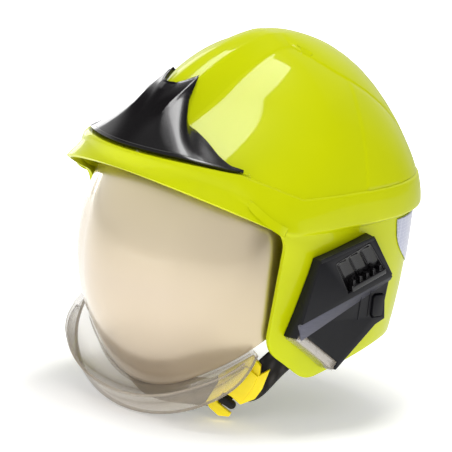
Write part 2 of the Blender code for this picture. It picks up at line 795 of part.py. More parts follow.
def build_reflector():
    """A reflective film round the back of the skirt, deepest in the middle."""
    outer = []
    inner = []
    for share in spread(0, 1, 5):
        rows = ([], [])
        for angle in spread(180 - REFLECTOR_HALF_ANGLE, 180 + REFLECTOR_HALF_ANGLE, 20):
            off = abs(angle - 180)
            top = brim_level(180 - off) - REFLECTOR_TOP_GAP
            depth = math.sqrt(1 - (off / REFLECTOR_HALF_ANGLE) ** 2)
            drop = mix(REFLECTOR_END, REFLECTOR_DROP, depth)
            for row, out in zip(rows, (SKIN_GAP + REFLECTOR_THICK, SKIN_GAP)):
                point = shell_wall(180 - off, top - drop * share, out)
                row.append(Vector((point.x if angle < 180 else -point.x, point.y, point.z)))
        outer.append(rows[0])
        inner.append(rows[1])
    add_object("rear_reflector", slab(outer, inner), REFLECTIVE)


class Turned:
    """A visor surface turned about the pivot axis, from its half-width, its core radius and its bulge."""

    def __init__(self, half_width, core, bulge):
        self.half_width = half_width
        self.core = core
        self.bulge = bulge

    def radius(self, x):
        return self.core + self.bulge * math.sqrt(max(0, 1 - (x / self.half_width) ** 2))

    def normal(self, x):
        """The way the surface faces: sideways, and out from the pivot axis."""
        return Vector((x / self.half_width**2, (self.radius(x) - self.core) / self.bulge**2)).normalized()

    def point(self, x, angle, out=0.0):
        """A point at this distance from the middle and angle above the pivot, moved out along the normal."""
        normal = self.normal(x)
        radius = self.radius(x) + normal.y * out
        turn = math.radians(angle)
        return Vector((x + normal.x * out, -radius * math.cos(turn), radius * math.sin(turn)))


SHIELD = Turned(SHIELD_ARM_X[0] - FIT + SHIELD_SIDE_ROUND, SHIELD_CORE, SHIELD_BULGE)
OCULAR = Turned(OCULAR_ARM_X[0] - FIT + OCULAR_SIDE_ROUND, OCULAR_CORE, OCULAR_BULGE)


def widths(half, steps):
    """Places across a visor, closer together towards its sides where it turns back."""
    return [half * math.sin(math.pi / 2 * share) for share in spread(-1, 1, steps)]


def shield_low(x):
    """Angle of the shield's lower edge, which rises towards the sides."""
    half = SHIELD_ARM_X[0] - FIT
    return SHIELD_LOW_ANGLE + SHIELD_LOW_SIDE_RISE * (x / half) ** 2


def build_shield():
    half = SHIELD_ARM_X[0] - FIT
    sheets = []
    for out in (0, -SHIELD_THICK):
        rows = []
        for share in spread(0, 1, 14):
            places = [(x, mix(shield_low(x), SHIELD_TOP_ANGLE, share)) for x in widths(half, 28)]
            rows.append([SHIELD.point(x, angle, out) for x, angle in places])
        sheets.append(rows)
    add_object("face_shield", slab(sheets[0], sheets[1]), GOLD_COAT)


def lip_lines(x):
    """The lip's outer and inner lines at one place across the shield: out under the shield's edge,
    along the flange that stands out ahead, then back down the skirt."""
    half = SHIELD_ARM_X[0] - FIT
    share = 1 - (abs(x) / half) ** LIP_FADE_POWER
    edge = shield_low(x) - math.degrees(FIT / SHIELD.radius(x))
    normal = SHIELD.normal(x)
    tilt = math.radians(LIP_FLANGE_TILT)
    fall = math.radians(LIP_SKIRT_TILT)
    flange = Vector((normal.x, -normal.y * math.cos(tilt), normal.y * math.sin(tilt)))
    skirt = Vector((0, -math.cos(fall), math.sin(fall)))
    outer = [SHIELD.point(x, edge, -SHIELD_THICK), SHIELD.point(x, edge)]
    outer.append(outer[1] + flange * LIP_FLANGE * share)
    outer.append(outer[2] + skirt * LIP_SKIRT * share)
    along = SHIELD.point(x + FIT, shield_low(x + FIT)) - SHIELD.point(x - FIT, shield_low(x - FIT))
    sides = [along.cross(b - a).normalized() for a, b in zip(outer, outer[1:])]
    inner = []
    for i, point in enumerate(outer):
        before = sides[max(i - 1, 0)]
        after = sides[min(i, len(sides) - 1)]
        inner.append(point + (before + after) * LIP_THICK * share / (1 + before.dot(after)))
    return outer, inner


def build_lip():
    """The clear lip under the shield."""
    half = SHIELD_ARM_X[0] - FIT - LIP_SIDE_MARGIN
    lines = [lip_lines(x) for x in widths(half, 28)]
    outer = [line[0] for line in lines]
    inner = [line[1] for line in lines]
    add_object("shield_lip", slab(outer, inner), CLEAR_PLASTIC)


def build_ocular():
    half = OCULAR_ARM_X[0] - FIT
    sheets = []
    for out in (0, -OCULAR_THICK):
        rows = []
        for share in spread(0, 1, 10):
            row = []
            for x in widths(half, 26):
                nose = OCULAR_NOSE_RISE * math.exp(-((x / OCULAR_NOSE_HALF) ** 2))
                row.append(OCULAR.point(x, mix(OCULAR_LOW_ANGLE + nose, OCULAR_TOP_ANGLE, share), out))
            rows.append(row)
        sheets.append(rows)
    add_object("ocular_visor", slab(sheets[0], sheets[1]), CLEAR_PLASTIC)


def build_arm(name, x_range, reach, angles, side):
    """A flat fan that joins a visor's side edge to its pivot, with the pivot bore."""
    sheets = []
    low_angle, high_angle = angles
    middle = (low_angle + high_angle) / 2
    half = (high_angle - low_angle) / 2
    turns = spread(-180, 180, 48)[:-1]
    for x in x_range:
        bore = []
        rim = []
        for turn in turns:
            past = max(0, abs(turn) - half) / ARM_SPREAD
            radius = mix(reach, ARM_HUB_RADIUS, ease(past))
            angle = math.radians(middle + turn)
            ray = Vector((0, -math.cos(angle), math.sin(angle)))
            bore.append(Vector((side * x, 0, 0)) + ray * (BOLT_RADIUS + FIT))
            rim.append(Vector((side * x, 0, 0)) + ray * radius)
        sheets.append([bore, rim])
    add_object(name, slab(sheets[0], sheets[1], wrap=True), SATIN_BLACK)


def build_pivots():
    shield_reach = SHIELD.radius(SHIELD_ARM_X[0] - FIT)
    shield_span = (shield_low(SHIELD_ARM_X[0] - FIT), SHIELD_TOP_ANGLE)
    ocular_reach = OCULAR.radius(OCULAR_ARM_X[0] - FIT)
    for word, side in SIDES:
        build_arm(f"shield_arm_{word}", SHIELD_ARM_X, shield_reach, shield_span, side)
        build_arm(f"ocular_arm_{word}", OCULAR_ARM_X, ocular_reach, (OCULAR_LOW_ANGLE, OCULAR_TOP_ANGLE), side)
        add_object(f"pivot_bush_{word}", tube(BUSH_X, BOLT_RADIUS + FIT, BUSH_RADIUS, side), SATIN_BLACK)
        add_object(f"pivot_spacer_{word}", tube(SPACER_X, BOLT_RADIUS + FIT, BUSH_RADIUS, side), SATIN_BLACK)
        profile = [
            (BOLT_HEAD_X[0], BOLT_HEAD_RADIUS - BOLT_CHAMFER),
            (BOLT_HEAD_X[0] + BOLT_CHAMFER, BOLT_HEAD_RADIUS),
            (BOLT_HEAD_X[1], BOLT_HEAD_RADIUS),
            (BOLT_HEAD_X[1], BOLT_RADIUS),
            (BUSH_X[1] + SHELL_WALL, BOLT_RADIUS),
        ]
        add_object(f"pivot_bolt_{word}", turned(profile, mirrored(side)), STEEL)


LINER_REAR = SHELL.radius(180, SHELL_RING_LEVEL) - BRIM_STEP - SHELL_WALL - SKIN_GAP
LINER_POWERS = (LINER_POWER, LINER_POWER)


def liner_oval(inset):
    """The liner's outer face moved in by inset."""
    half_width = OCULAR_ARM_X[0] - LINER_ARM_GAP
    sizes = (half_width, LINER_FRONT, LINER_REAR, LINER_DOME_RISE, LINER_SKIRT_DROP)
    return Oval(*(size - inset for size in sizes), LINER_POWERS, LINER_POWER, LINER_POWERS)


LINER = liner_oval(0)
LINER_INSIDE = liner_oval(LINER_THICK)
HEAD_HALF = LINER_INSIDE.radius(90, BAND_TOP_Z) - FIT


def build_liner():
    """The foam liner: an oval cap with a scalloped lower rim, open below."""
    turns = spread(0, 360, 40)[:-1]
    sheets = []
    for oval in (LINER, LINER_INSIDE):
        rows = []
        for share in spread(0, 1, 8)[:-1]:
            row = []
            for turn in turns:
                angle = turn if turn <= 180 else 360 - turn
                rim = mix(LINER_FRONT_Z, LINER_SIDE_Z, ease(angle / 90))
                if angle > 90:
                    rim = mix(LINER_SIDE_Z, LINER_REAR_Z, ease((angle - 90) / 90))
                top = SHELL_RING_LEVEL + oval.rise
                z = rim + (top - rim) * math.sin(math.pi / 2 * share)
                point = oval.point(angle, z)
                row.append(Vector((point.x if turn <= 180 else -point.x, point.y, z)))
            rows.append(row)
        sheets.append(rows)
    add_object("impact_liner", slab(sheets[0], sheets[1], wrap=True, capped=True), FOAM)


def band_point(angle, z, inset):
    """A point on the headband's oval, moved in towards the head."""
    turn = math.radians(angle)
    depth = BAND_FRONT if math.cos(turn) > 0 else BAND_REAR
    radius = 1 / math.hypot(math.sin(turn) / HEAD_HALF, math.cos(turn) / depth) - inset
    return Vector((radius * math.sin(turn), SHELL_MIDDLE_Y - radius * math.cos(turn), z))


def build_harness():
    turns = spread(0, 360, 48)[:-1]
    levels = (BAND_LOW_Z, BAND_TOP_Z)
    outer = [[band_point(turn, z, 0) for turn in turns] for z in levels]
    inner = [[band_point(turn, z, BAND_THICK) for turn in turns] for z in levels]
    add_object("headband", slab(outer, inner, wrap=True), SATIN_BLACK)

    pad_low = BAND_LOW_Z + SWEAT_PAD_INSET_Z
    pad_high = BAND_TOP_Z - SWEAT_PAD_INSET_Z
    outer = []
    inner = []
    for share in spread(0, 1, 6):
        z = mix(pad_low, pad_high, share)
        rows = ([], [])
        for turn in spread(-SWEAT_PAD_HALF_ANGLE, SWEAT_PAD_HALF_ANGLE, 24):
            crown = math.sin(math.pi * share) * math.sqrt(1 - (turn / SWEAT_PAD_HALF_ANGLE) ** 4)
            thick = SWEAT_PAD_EDGE + (SWEAT_PAD_THICK - SWEAT_PAD_EDGE) * crown
            rows[0].append(band_point(turn, z, BAND_THICK + SKIN_GAP))
            rows[1].append(band_point(turn, z, BAND_THICK + SKIN_GAP + thick))
        outer.append(rows[0])
        inner.append(rows[1])
    add_object("sweat_pad", slab(outer, inner), WEBBING)

    outer = []
    inner = []
    for z in spread(CRADLE_LOW_Z, BAND_LOW_Z - FIT, 6):
        share = (z - CRADLE_LOW_Z) / (BAND_LOW_Z - CRADLE_LOW_Z)
        half = CRADLE_HALF_ANGLE * mix(CRADLE_LOW_SHARE, 1, share)
        outer.append([band_point(180 + turn, z, 0) for turn in spread(-half, half, 12)])
        inner.append([band_point(180 + turn, z, CRADLE_THICK) for turn in spread(-half, half, 12)])
    add_object("nape_cradle", slab(outer, inner), SATIN_BLACK)


def arch(half, rise, low_z, place):
    """A crown strap bent over the head, from one side of the headband to the other."""
    outer = []
    inner = []
    for turn in spread(0, math.pi, 20):
        normal = Vector((math.cos(turn) / half, 0, math.sin(turn) / rise)).normalized()
        point = Vector((half * math.cos(turn), 0, low_z + rise * math.sin(turn)))
        across = spread(-CROWN_STRAP_WIDTH / 2, CROWN_STRAP_WIDTH / 2, 2)
        offset = normal * CROWN_STRAP_THICK / 2
        outer.append([place @ (point + offset + Vector((0, y, 0))) for y in across])
        inner.append([place @ (point - offset + Vector((0, y, 0))) for y in across])
    return slab(outer, inner)


def band_half_at(y):
    """Half-width of the headband, in the middle of its wall, this far along the head."""
    depth = BAND_FRONT if y < SHELL_MIDDLE_Y else BAND_REAR
    outer = HEAD_HALF * math.sqrt(1 - ((y - SHELL_MIDDLE_Y) / depth) ** 2)
    return outer - BAND_THICK / 2


def build_crown_straps():
    for word, y in (("front", CROWN_STRAP_FRONT_Y), ("rear", CROWN_STRAP_REAR_Y)):
        far = y + CROWN_STRAP_WIDTH / 2 * (1 if y > SHELL_MIDDLE_Y else -1)
        half = band_half_at(far) - CROWN_STRAP_THICK
        low = BAND_TOP_Z + FIT
        bm = arch(half, CROWN_STRAP_RISE, low, Matrix.Translation((0, y, 0)))
        add_object(f"crown_strap_{word}", bm, WEBBING)
    half = (BAND_FRONT + BAND_REAR) / 2 - BAND_THICK / 2
    middle = SHELL_MIDDLE_Y + (BAND_REAR - BAND_FRONT) / 2
    rise = CROWN_STRAP_RISE - CROWN_LACE_GAP - CROWN_STRAP_THICK
    place = Matrix.Translation((0, middle, 0)) @ Matrix.Rotation(math.pi / 2, 4, "Z")
    bm = arch(half, rise, BAND_TOP_Z + FIT, place)
    add_object("crown_strap_middle", bm, WEBBING)


def build_ratchet():
    seat = band_point(180, RATCHET_Z, 0).y + SKIN_GAP
    place = Matrix.Translation((0, seat + RATCHET_DEPTH / 2, RATCHET_Z)) @ Matrix.Rotation(math.pi / 2, 4, "Z")
    outline = []
    for turn in spread(0, 2 * math.pi, 24)[:-1]:
        x = math.copysign(abs(math.cos(turn)) ** RATCHET_END_POWER, math.cos(turn)) * RATCHET_HALF_WIDTH
        z = math.copysign(abs(math.sin(turn)) ** RATCHET_SIDE_POWER, math.sin(turn)) * RATCHET_HALF_HEIGHT
        outline.append((x, z))
    body = prism(outline, -RATCHET_DEPTH / 2, RATCHET_DEPTH / 2, place)
    housing = add_object("ratchet_housing", body, SATIN_BLACK)
    rear = []
    for z in (RATCHET_Z - 2 * RATCHET_HALF_HEIGHT, RATCHET_Z + 2 * RATCHET_HALF_HEIGHT):
        turns = spread(-CRADLE_HALF_ANGLE, CRADLE_HALF_ANGLE, 16)
        rear.append([band_point(180 + turn, z, -SKIN_GAP) for turn in turns])
    front = [[point - Vector((0, 2 * RATCHET_DEPTH, 0)) for point in row] for row in rear]
    cut(housing, slab(rear, front), "ratchet_back_curve")

    start = seat + RATCHET_DEPTH + FIT
    outline = []
    for turn in spread(0, 2 * math.pi, KNOB_FLUTES * 6)[:-1]:
        radius = KNOB_RADIUS - KNOB_FLUTE * (0.5 - 0.5 * math.cos(KNOB_FLUTES * turn))
        outline.append((radius * math.cos(turn), radius * math.sin(turn)))
    place = Matrix.Translation((0, start, RATCHET_Z)) @ Matrix.Rotation(math.pi / 2, 4, "Z")
    add_object("ratchet_knob", prism(outline, 0, KNOB_LENGTH, place), SATIN_BLACK, (0, start, RATCHET_Z))


def cover_face():
    """Distance from the middle of the side cover's flat outer face."""
    return SHELL.half_at(0, 0) + COVER_RISE


def cover_back():
    """Distance from the middle of the covers' blanks, well inside the shell's face that is cut from them."""
    return min(wall_half(y, z) for y, z in COVER_OUTLINE) - COVER_SEAT


def build_cover(word, side):
    """A side cover with its rack recess, lower panel, switch pocket and lamp notch, and what it carries."""
    face = cover_face()
    place = mirrored(side)
    blank = prism(COVER_OUTLINE, cover_back(), face, place, COVER_TAPER)
    cover = add_object(f"side_cover_{word}", blank, SATIN_BLACK)
    cut(cover, shell_volume(SKIN_GAP), f"shell_seat_{word}")
    far = 2 * SHELL_HALF_WIDTH
    slope = (COVER_STEP_REAR_Z - COVER_STEP_FRONT_Z) / (COVER_STEP_REAR_Y - COVER_STEP_FRONT_Y)
    step = [
        (-far, COVER_STEP_FRONT_Z + slope * (-far - COVER_STEP_FRONT_Y)),
        (far, COVER_STEP_FRONT_Z + slope * (far - COVER_STEP_FRONT_Y)),
        (far, -far),
        (-far, -far),
    ]
    cut(cover, prism(step, face - COVER_STEP, face + far, place), f"lower_panel_{word}")
    cut(cover, prism(RACK_OUTLINE, face - RACK_DEPTH, face + RACK_DEPTH, place), f"rack_recess_{word}")
    pocket = face - COVER_STEP - SWITCH_DEPTH
    hole = Vector((SWITCH_HALF_WIDTH + FIT, SWITCH_HALF_HEIGHT + FIT))
    cut(cover, prism(pad_outline(hole), pocket, face + COVER_STEP, place), f"switch_pocket_{word}")
    cut(cover, lamp_block(face, LENS_WIDTH + FIT, far, place), f"lamp_notch_{word}")

    seat = face - RACK_DEPTH + FIT
    rack = add_object(f"mask_rack_{word}", prism(rack_bar(), seat, seat + RACK_REACH, place), SATIN_BLACK)
    start = Vector(RACK_OUTLINE[3])
    run = Vector(RACK_OUTLINE[2]) - start
    along = run.normalized()
    up = Vector((-along.y, along.x))
    for tooth in range(RACK_TEETH):
        share = mix(TOOTH_START, 1 - TOOTH_START, tooth / (RACK_TEETH - 1))
        foot = start + run * share + up * RACK_BAR
        half = along * TOOTH_WIDTH / 2
        tip = half * TOOTH_TIP_SHARE
        outline = [foot - half - up * TOOTH_ROOT, foot + half - up * TOOTH_ROOT]
        outline += [foot + tip + up * TOOTH_HEIGHT, foot - tip + up * TOOTH_HEIGHT]
        tooth_solid = prism([tuple(v) for v in outline], seat, seat + RACK_REACH - TOOTH_ROOT, place)
        cut(rack, tooth_solid, f"rack_tooth_{word}_{tooth}", "UNION")

    pad = Vector((SWITCH_HALF_WIDTH, SWITCH_HALF_HEIGHT))
    low = pocket + SWITCH_TRAVEL + FIT
    high = face - COVER_STEP + SWITCH_PROUD
    button = prism(pad_outline(pad), low, high, place, SWITCH_TAPER)
    add_object(f"lamp_switch_{word}", button, SATIN_BLACK, (side * low, SWITCH_Y, SWITCH_Z))

    lens = add_object(f"lamp_lens_{word}", lamp_block(face, LENS_WIDTH, 0, place), CLEAR_PLASTIC)
    cut(lens, shell_volume(SKIN_GAP), f"lens_seat_{word}")
    cut(lens, lamp_core(face, 0, place), f"lens_hollow_{word}")
    reflector = add_object(f"lamp_reflector_{word}", lamp_core(face, FIT, place), BRIGHT)
    cut(reflector, shell_volume(SKIN_GAP), f"reflector_seat_{word}")


def pad_outline(half):
    """The switch pad's outline: a rectangle with its corners cut."""
    y, z = half
    corners = []
    for sy, sz in ((-1, -1), (1, -1), (1, 1), (-1, 1)):
        first = (SWITCH_Y + sy * (y - SWITCH_CHAMFER), SWITCH_Z + sz * z)
        second = (SWITCH_Y + sy * y, SWITCH_Z + sz * (z - SWITCH_CHAMFER))
        corners += [first, second] if sy * sz < 0 else [second, first]
    return corners


def rack_bar():
    """The rack's bar along the recess's lower edge."""
    start = Vector(RACK_OUTLINE[3])
    end = Vector(RACK_OUTLINE[2])
    along = (end - start).normalized()
    up = Vector((-along.y, along.x))
    low = start + along * RACK_END + up * FIT
    high = end - along * RACK_END + up * FIT
    return [tuple(v) for v in (low, high, high + up * RACK_BAR, low + up * RACK_BAR)]


def lamp_frame():
    """Start of the lamp edge, its direction, the way into the cover, and its length."""
    start = Vector(COVER_OUTLINE[-1])
    end = Vector(COVER_OUTLINE[-2])
    along = (end - start).normalized()
    return start, along, Vector((-along.y, along.x)), (end - start).length


def lamp_block(face, width, extra, place):
    """The block that the lamp takes out of the cover's lower front edge."""
    start, along, into, length = lamp_frame()
    trim = LENS_END - (FIT if extra else 0)
    low = start + along * trim
    high = start + along * (length - trim)
    outer = -into * extra
    corners = [low + outer, high + outer, high + into * width, low + into * width]
    deep = cover_back() - (COVER_SEAT if extra else 0)
    top = face - COVER_STEP - LENS_DROP + extra
    return prism([tuple(v) for v in corners], deep, top, place)


def lamp_core(face, gap, place):
    """The room behind the lens wall, which the reflector fills less a gap."""
    start, along, into, length = lamp_frame()
    ends = LENS_END + LENS_WALL + gap
    low = start + along * ends
    high = start + along * (length - ends)
    front = into * (LENS_WALL + gap)
    back = into * (LENS_WIDTH + (LENS_WALL if not gap else -gap))
    corners = [low + front, high + front, high + back, low + back]
    top = face - COVER_STEP - LENS_DROP - LENS_WALL - gap
    return prism([tuple(v) for v in corners], cover_back(), top, place)


def strap_normal(point):
    """The way the strap's face looks: outwards at the cheeks and ahead under the chin."""
    return Vector((STRAP_FACING * point.x, point.y - ANCHOR_Y, 0)).normalized()


def ribbon(points):
    """A flat strap through the points given, as a smooth path."""
    path = []
    ends = [2 * points[0] - points[1]] + points + [2 * points[-1] - points[-2]]
    for before, start, end, after in zip(ends, ends[1:], ends[2:], ends[3:]):
        for t in spread(0, 1, 5)[:-1]:
            bend = (before * 2 - start * 5 + end * 4 - after) * t * t
            turn = (start * 3 - before - end * 3 + after) * t * t * t
            path.append((start * 2 + (end - before) * t + bend + turn) / 2)
    path.append(points[-1])
    outer = []
    inner = []
    for i, point in enumerate(path):
        along = path[min(i + 1, len(path) - 1)] - path[max(i - 1, 0)]
        normal = strap_normal(point)
        across = along.cross(normal).normalized() * STRAP_WIDTH / 2
        half = normal * STRAP_THICK / 2
        outer.append([point + half + across * side for side in (-1, 0, 1)])
        inner.append([point - half + across * side for side in (-1, 0, 1)])
    return slab(outer, inner)


def from_side(inset, y, z):
    """A place measured in from the shell's half-width."""
    return Vector((SHELL_HALF_WIDTH - inset, y, z))


def buckle_place():
    """Maps outwards, rearwards and upwards from the buckle's centre to the helmet."""
    turn = Matrix.Rotation(math.radians(BUCKLE_TURN - 90), 4, "Z")
    return Matrix.Translation(from_side(*BUCKLE_CENTRE)) @ turn


def anchor_wall(angle, z, depth):
    return shell_wall(angle, z, -SHELL_WALL - SKIN_GAP - depth)


def build_chin():
    strap_depth = ANCHOR_THICK + STRAP_LAP + SKIN_GAP + STRAP_THICK / 2
    start = anchor_wall(ANCHOR_ANGLE, ANCHOR_Z, strap_depth)
    for word, side in SIDES:
        sheets = []
        for depth in (0, ANCHOR_THICK):
            rows = []
            for z in spread(ANCHOR_Z - ANCHOR_HALF_HEIGHT, ANCHOR_Z + ANCHOR_HALF_HEIGHT, 4):
                angles = spread(ANCHOR_ANGLE - ANCHOR_HALF_ANGLE, ANCHOR_ANGLE + ANCHOR_HALF_ANGLE, 6)
                rows.append([mirrored(side) @ anchor_wall(angle, z, depth) for angle in angles])
            sheets.append(rows)
        add_object(f"strap_anchor_{word}", slab(sheets[0], sheets[1]), SATIN_BLACK)

    place = buckle_place()
    half = BUCKLE_THICK / 2
    lap = -half - STRAP_LAP - STRAP_THICK / 2
    rear_end = [place @ Vector((lap, *yz)) for yz in STRAP_REAR_END]
    side_points = [from_side(*point) for point in STRAP_SIDE]
    add_object("chin_strap_left", ribbon([start] + side_points + rear_end), WEBBING)
    front_end = [place @ Vector((lap, *yz)) for yz in STRAP_FRONT_END]
    far_side = [mirrored(-1) @ point for point in [start] + side_points + [from_side(*STRAP_FAR_CHEEK)]]
    chin = [Vector((SHELL_HALF_WIDTH * share, y, z)) for share, y, z in STRAP_CHIN]
    add_object("chin_strap_right", ribbon(front_end + chin + far_side[::-1]), WEBBING)

    add_object("buckle_frame", prism(BUCKLE_OUTLINE, -half, half, place), YELLOW_PLASTIC)
    low = half + FIT
    hinge = place @ Vector((low + LEVER_THICK / 2, *LEVER_OUTLINE[0]))
    flap = prism(LEVER_OUTLINE, low, low + LEVER_THICK, place)
    lever = add_object("buckle_lever", flap, YELLOW_PLASTIC, hinge)
    first = Vector(LEVER_OUTLINE[0])
    run = Vector(LEVER_OUTLINE[1]) - first
    slant = Matrix.Rotation(math.atan2(run.y, run.x), 4, "X")
    tilt = Matrix.Translation((low + LEVER_THICK / 2, *first)) @ slant
    barrel = [(0, LEVER_THICK / 2), (run.length, LEVER_THICK / 2)]
    cut(lever, turned(barrel, place @ tilt @ Matrix.Rotation(math.pi / 2, 4, "Z"), 12), "lever_barrel", "UNION")

    first = Vector(ROLLER_START)
    run = Vector(ROLLER_END) - first
    tilt = Matrix.Translation((ROLLER_OUT, *first)) @ Matrix.Rotation(math.atan2(run.y, run.x), 4, "X")
    profile = [(0, ROLLER_RADIUS)]
    for turn in spread(0, math.pi / 2, 5)[:-1]:
        across = ROLLER_RADIUS * math.cos(turn)
        profile.append((run.length - ROLLER_RADIUS + ROLLER_RADIUS * math.sin(turn), across))
    roller = turned(profile, place @ tilt @ Matrix.Rotation(math.pi / 2, 4, "Z"), 20)
    add_object("buckle_roller", roller, WEBBING)


build_shell()
build_plate()
build_reflector()
build_shield()
build_lip()
build_ocular()
build_pivots()
build_liner()
build_harness()
build_crown_straps()
build_ratchet()
for cover_word, cover_side in SIDES:
    build_cover(cover_word, cover_side)
build_chin()
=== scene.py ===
import math

import bmesh
import bpy
from mathutils import Matrix, Vector


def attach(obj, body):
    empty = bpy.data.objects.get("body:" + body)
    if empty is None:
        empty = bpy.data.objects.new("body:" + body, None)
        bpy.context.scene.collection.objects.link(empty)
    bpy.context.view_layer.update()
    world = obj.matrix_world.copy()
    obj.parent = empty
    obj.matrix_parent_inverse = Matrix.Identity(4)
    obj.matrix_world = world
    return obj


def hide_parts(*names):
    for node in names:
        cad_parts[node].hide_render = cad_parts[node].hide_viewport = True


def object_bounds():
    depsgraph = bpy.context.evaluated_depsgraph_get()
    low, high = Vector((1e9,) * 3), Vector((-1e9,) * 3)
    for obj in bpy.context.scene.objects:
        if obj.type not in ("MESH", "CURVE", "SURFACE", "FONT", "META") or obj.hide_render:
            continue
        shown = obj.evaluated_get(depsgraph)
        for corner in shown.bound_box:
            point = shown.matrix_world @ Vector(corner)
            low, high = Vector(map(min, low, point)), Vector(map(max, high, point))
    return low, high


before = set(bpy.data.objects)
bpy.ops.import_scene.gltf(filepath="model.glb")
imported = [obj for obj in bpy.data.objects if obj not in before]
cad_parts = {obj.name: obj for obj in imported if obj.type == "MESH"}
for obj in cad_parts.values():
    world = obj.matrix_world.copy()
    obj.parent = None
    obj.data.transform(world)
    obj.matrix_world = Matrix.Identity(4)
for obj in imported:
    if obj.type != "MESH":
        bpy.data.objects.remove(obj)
cad_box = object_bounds()

# Outer shell: one moulded wall of heat-proof thermoplastic, 4 mm thick, sprayed yellow-green and lacquered.
# A flat-topped crest runs over the crown, the dome ends in a crease above the brow, and a brim steps in
# above the neck. The visors' pivot bolts hold it at the two sides, under the covers.
MM = 0.001
SHELL_WALL = 4 * MM
SHELL_HALF_WIDTH = 121 * MM
SHELL_FRONT = 165 * MM
SHELL_REAR = 149.5 * MM
SHELL_MIDDLE_Y = -8.5 * MM
RING_LEVEL = 47 * MM
DOME_RISE = 136 * MM
SKIRT_DROP = 290 * MM
# Powers of the dome's curves: its rise at the rear and front, the skirt, then the plan at the ring and at
# the rear and front of the crown
RISE_POWERS = (2.02, 1.65)
SKIRT_POWER = 2.2
RING_POWER = 2.7
CROWN_POWERS = (2.04, 1.15)
CREASE_ANGLES = (0, 40, 66, 180)
CREASE_LEVELS = (100 * MM, 92 * MM, 72 * MM, 76 * MM)
CREASE_BACK_ANGLE = 145
CREASE_INSET = 17 * MM
CREASE_FLARE_ANGLES = (33, 58)
BRIM_FRONT_SHARE = 0.45
BRIM_SIDE_Z = 44 * MM
BRIM_REAR_Z = 51 * MM
BRIM_STEP = 5 * MM
BRIM_STEP_ANGLES = (70, 130)
BRIM_FALL = 4 * MM
BROW_PLAIN_ANGLE = 50
BROW_FLARE = 9 * MM
BROW_FLARE_ANGLES = (25, 80)
BROW_FADES = (15 * MM, 30 * MM)
BROW_PLANE_Z = 6 * MM
BROW_SLOPE = 0.445
RIDGE_HALF = 8.5 * MM
CREST_ENDS = (-135 * MM, 134 * MM)
CREST_FADE = 20 * MM
CREST_HEIGHTS = (4.6 * MM, 11.3 * MM)
CREST_FULL_AHEAD = 105 * MM
BAND_NARROW = 24 * MM
BAND_WIDENING = 40 * MM
BAND_WIDENING_RUN = 20 * MM
BAND_STEP = 0.9 * MM
BAND_STEP_RUN = 1.6 * MM
PANEL_STEP = 0.7 * MM
PANEL_CORNER = (70 * MM, 32 * MM)
PANEL_WAY = (0.36, 0.93)
PANEL_STEP_RUN = 4 * MM
PANEL_SIDE_RUN = 6 * MM
LEDGE_RISE = 2 * MM
LEDGE_FALL = 1.2 * MM
LEDGE_ANGLES = (37, 47)
EDGE_ROUND = 16 * MM
EDGE_STEPS = 12
EDGE_FAN = (BROW_PLAIN_ANGLE, 58, 72, 94, 130, 180)
MERGE = 0.01 * MM
# Lines of the half dome's grid at the edge of the ridge, of its shoulder, of the step there and of the side,
# and rows of the wall at the brim, under its step and at the free edge
ACROSS = (4, 10, 12, 44)
ALONG = 180
WALL_ROWS = (9, 12, 30)


def mix(a, b, share):
    """What lies at this share of the way from a to b."""
    return a + (b - a) * share


def ease(share):
    """0 to 1 with level ends."""
    share = min(1, max(0, share))
    return share * share * (3 - 2 * share)


def solve(low, high, test):
    """The value between low and high where test turns from False to True."""
    for _ in range(36):
        middle = (low + high) / 2
        if test(middle):
            high = middle
        else:
            low = middle
    return (low + high) / 2


def dome_radius(angle, z):
    """Distance of the plain dome from its middle line, at an angle in degrees from straight ahead."""
    turn = math.radians(angle)
    ahead = 0.5 + 0.5 * math.cos(turn)
    rise_power = mix(*RISE_POWERS, ahead)
    reach = (z - RING_LEVEL) / DOME_RISE
    if z < RING_LEVEL:
        rise_power = SKIRT_POWER
        reach = (RING_LEVEL - z) / SKIRT_DROP
    share = max(0, 1 - reach**rise_power) ** (1 / rise_power)
    raised = ease((z - RING_LEVEL + 2 * MM) / (100 * MM))
    power = mix(RING_POWER, mix(*CROWN_POWERS, ahead), raised)
    depth = SHELL_FRONT if math.cos(turn) > 0 else SHELL_REAR
    side = (abs(math.sin(turn)) / SHELL_HALF_WIDTH) ** power
    along = (abs(math.cos(turn)) / depth) ** power
    return share * (side + along) ** (-1 / power)


def round_point(angle, z, out=0.0):
    """A point on the plain dome, moved out from the middle line."""
    turn = math.radians(angle)
    radius = dome_radius(angle, z) + out
    return Vector((radius * math.sin(turn), SHELL_MIDDLE_Y - radius * math.cos(turn), z))


def outside_dome(x, y, z):
    """Whether the point lies outside the plain dome."""
    angle = math.degrees(math.atan2(abs(x), SHELL_MIDDLE_Y - y))
    return math.hypot(x, y - SHELL_MIDDLE_Y) > dome_radius(angle, z)


def dome_height(x, y):
    """Height of the plain dome over a point of its plan."""
    return solve(RING_LEVEL, RING_LEVEL + DOME_RISE, lambda z: outside_dome(x, y, z))


def crease_level(angle):
    """Height of the crease at the dome's foot, round the shell."""
    if angle < CREASE_ANGLES[1]:
        return mix(CREASE_LEVELS[0], CREASE_LEVELS[1], (angle / CREASE_ANGLES[1]) ** 2)
    k = 1 if angle < CREASE_ANGLES[2] else 2
    share = (angle - CREASE_ANGLES[k]) / (CREASE_ANGLES[k + 1] - CREASE_ANGLES[k])
    return mix(CREASE_LEVELS[k], CREASE_LEVELS[k + 1], share)


def brow_flare(angle):
    """How far the brow edge stands out past the dome."""
    full, end = BROW_FLARE_ANGLES
    return BROW_FLARE * ease((end - angle) / (end - full))


def brow_level(angle):
    """Height of the brow edge, which lies in one sloping plane."""
    z = CREASE_LEVELS[0]
    for _ in range(8):
        z = BROW_PLANE_Z - BROW_SLOPE * round_point(angle, z, brow_flare(angle)).y
    return z


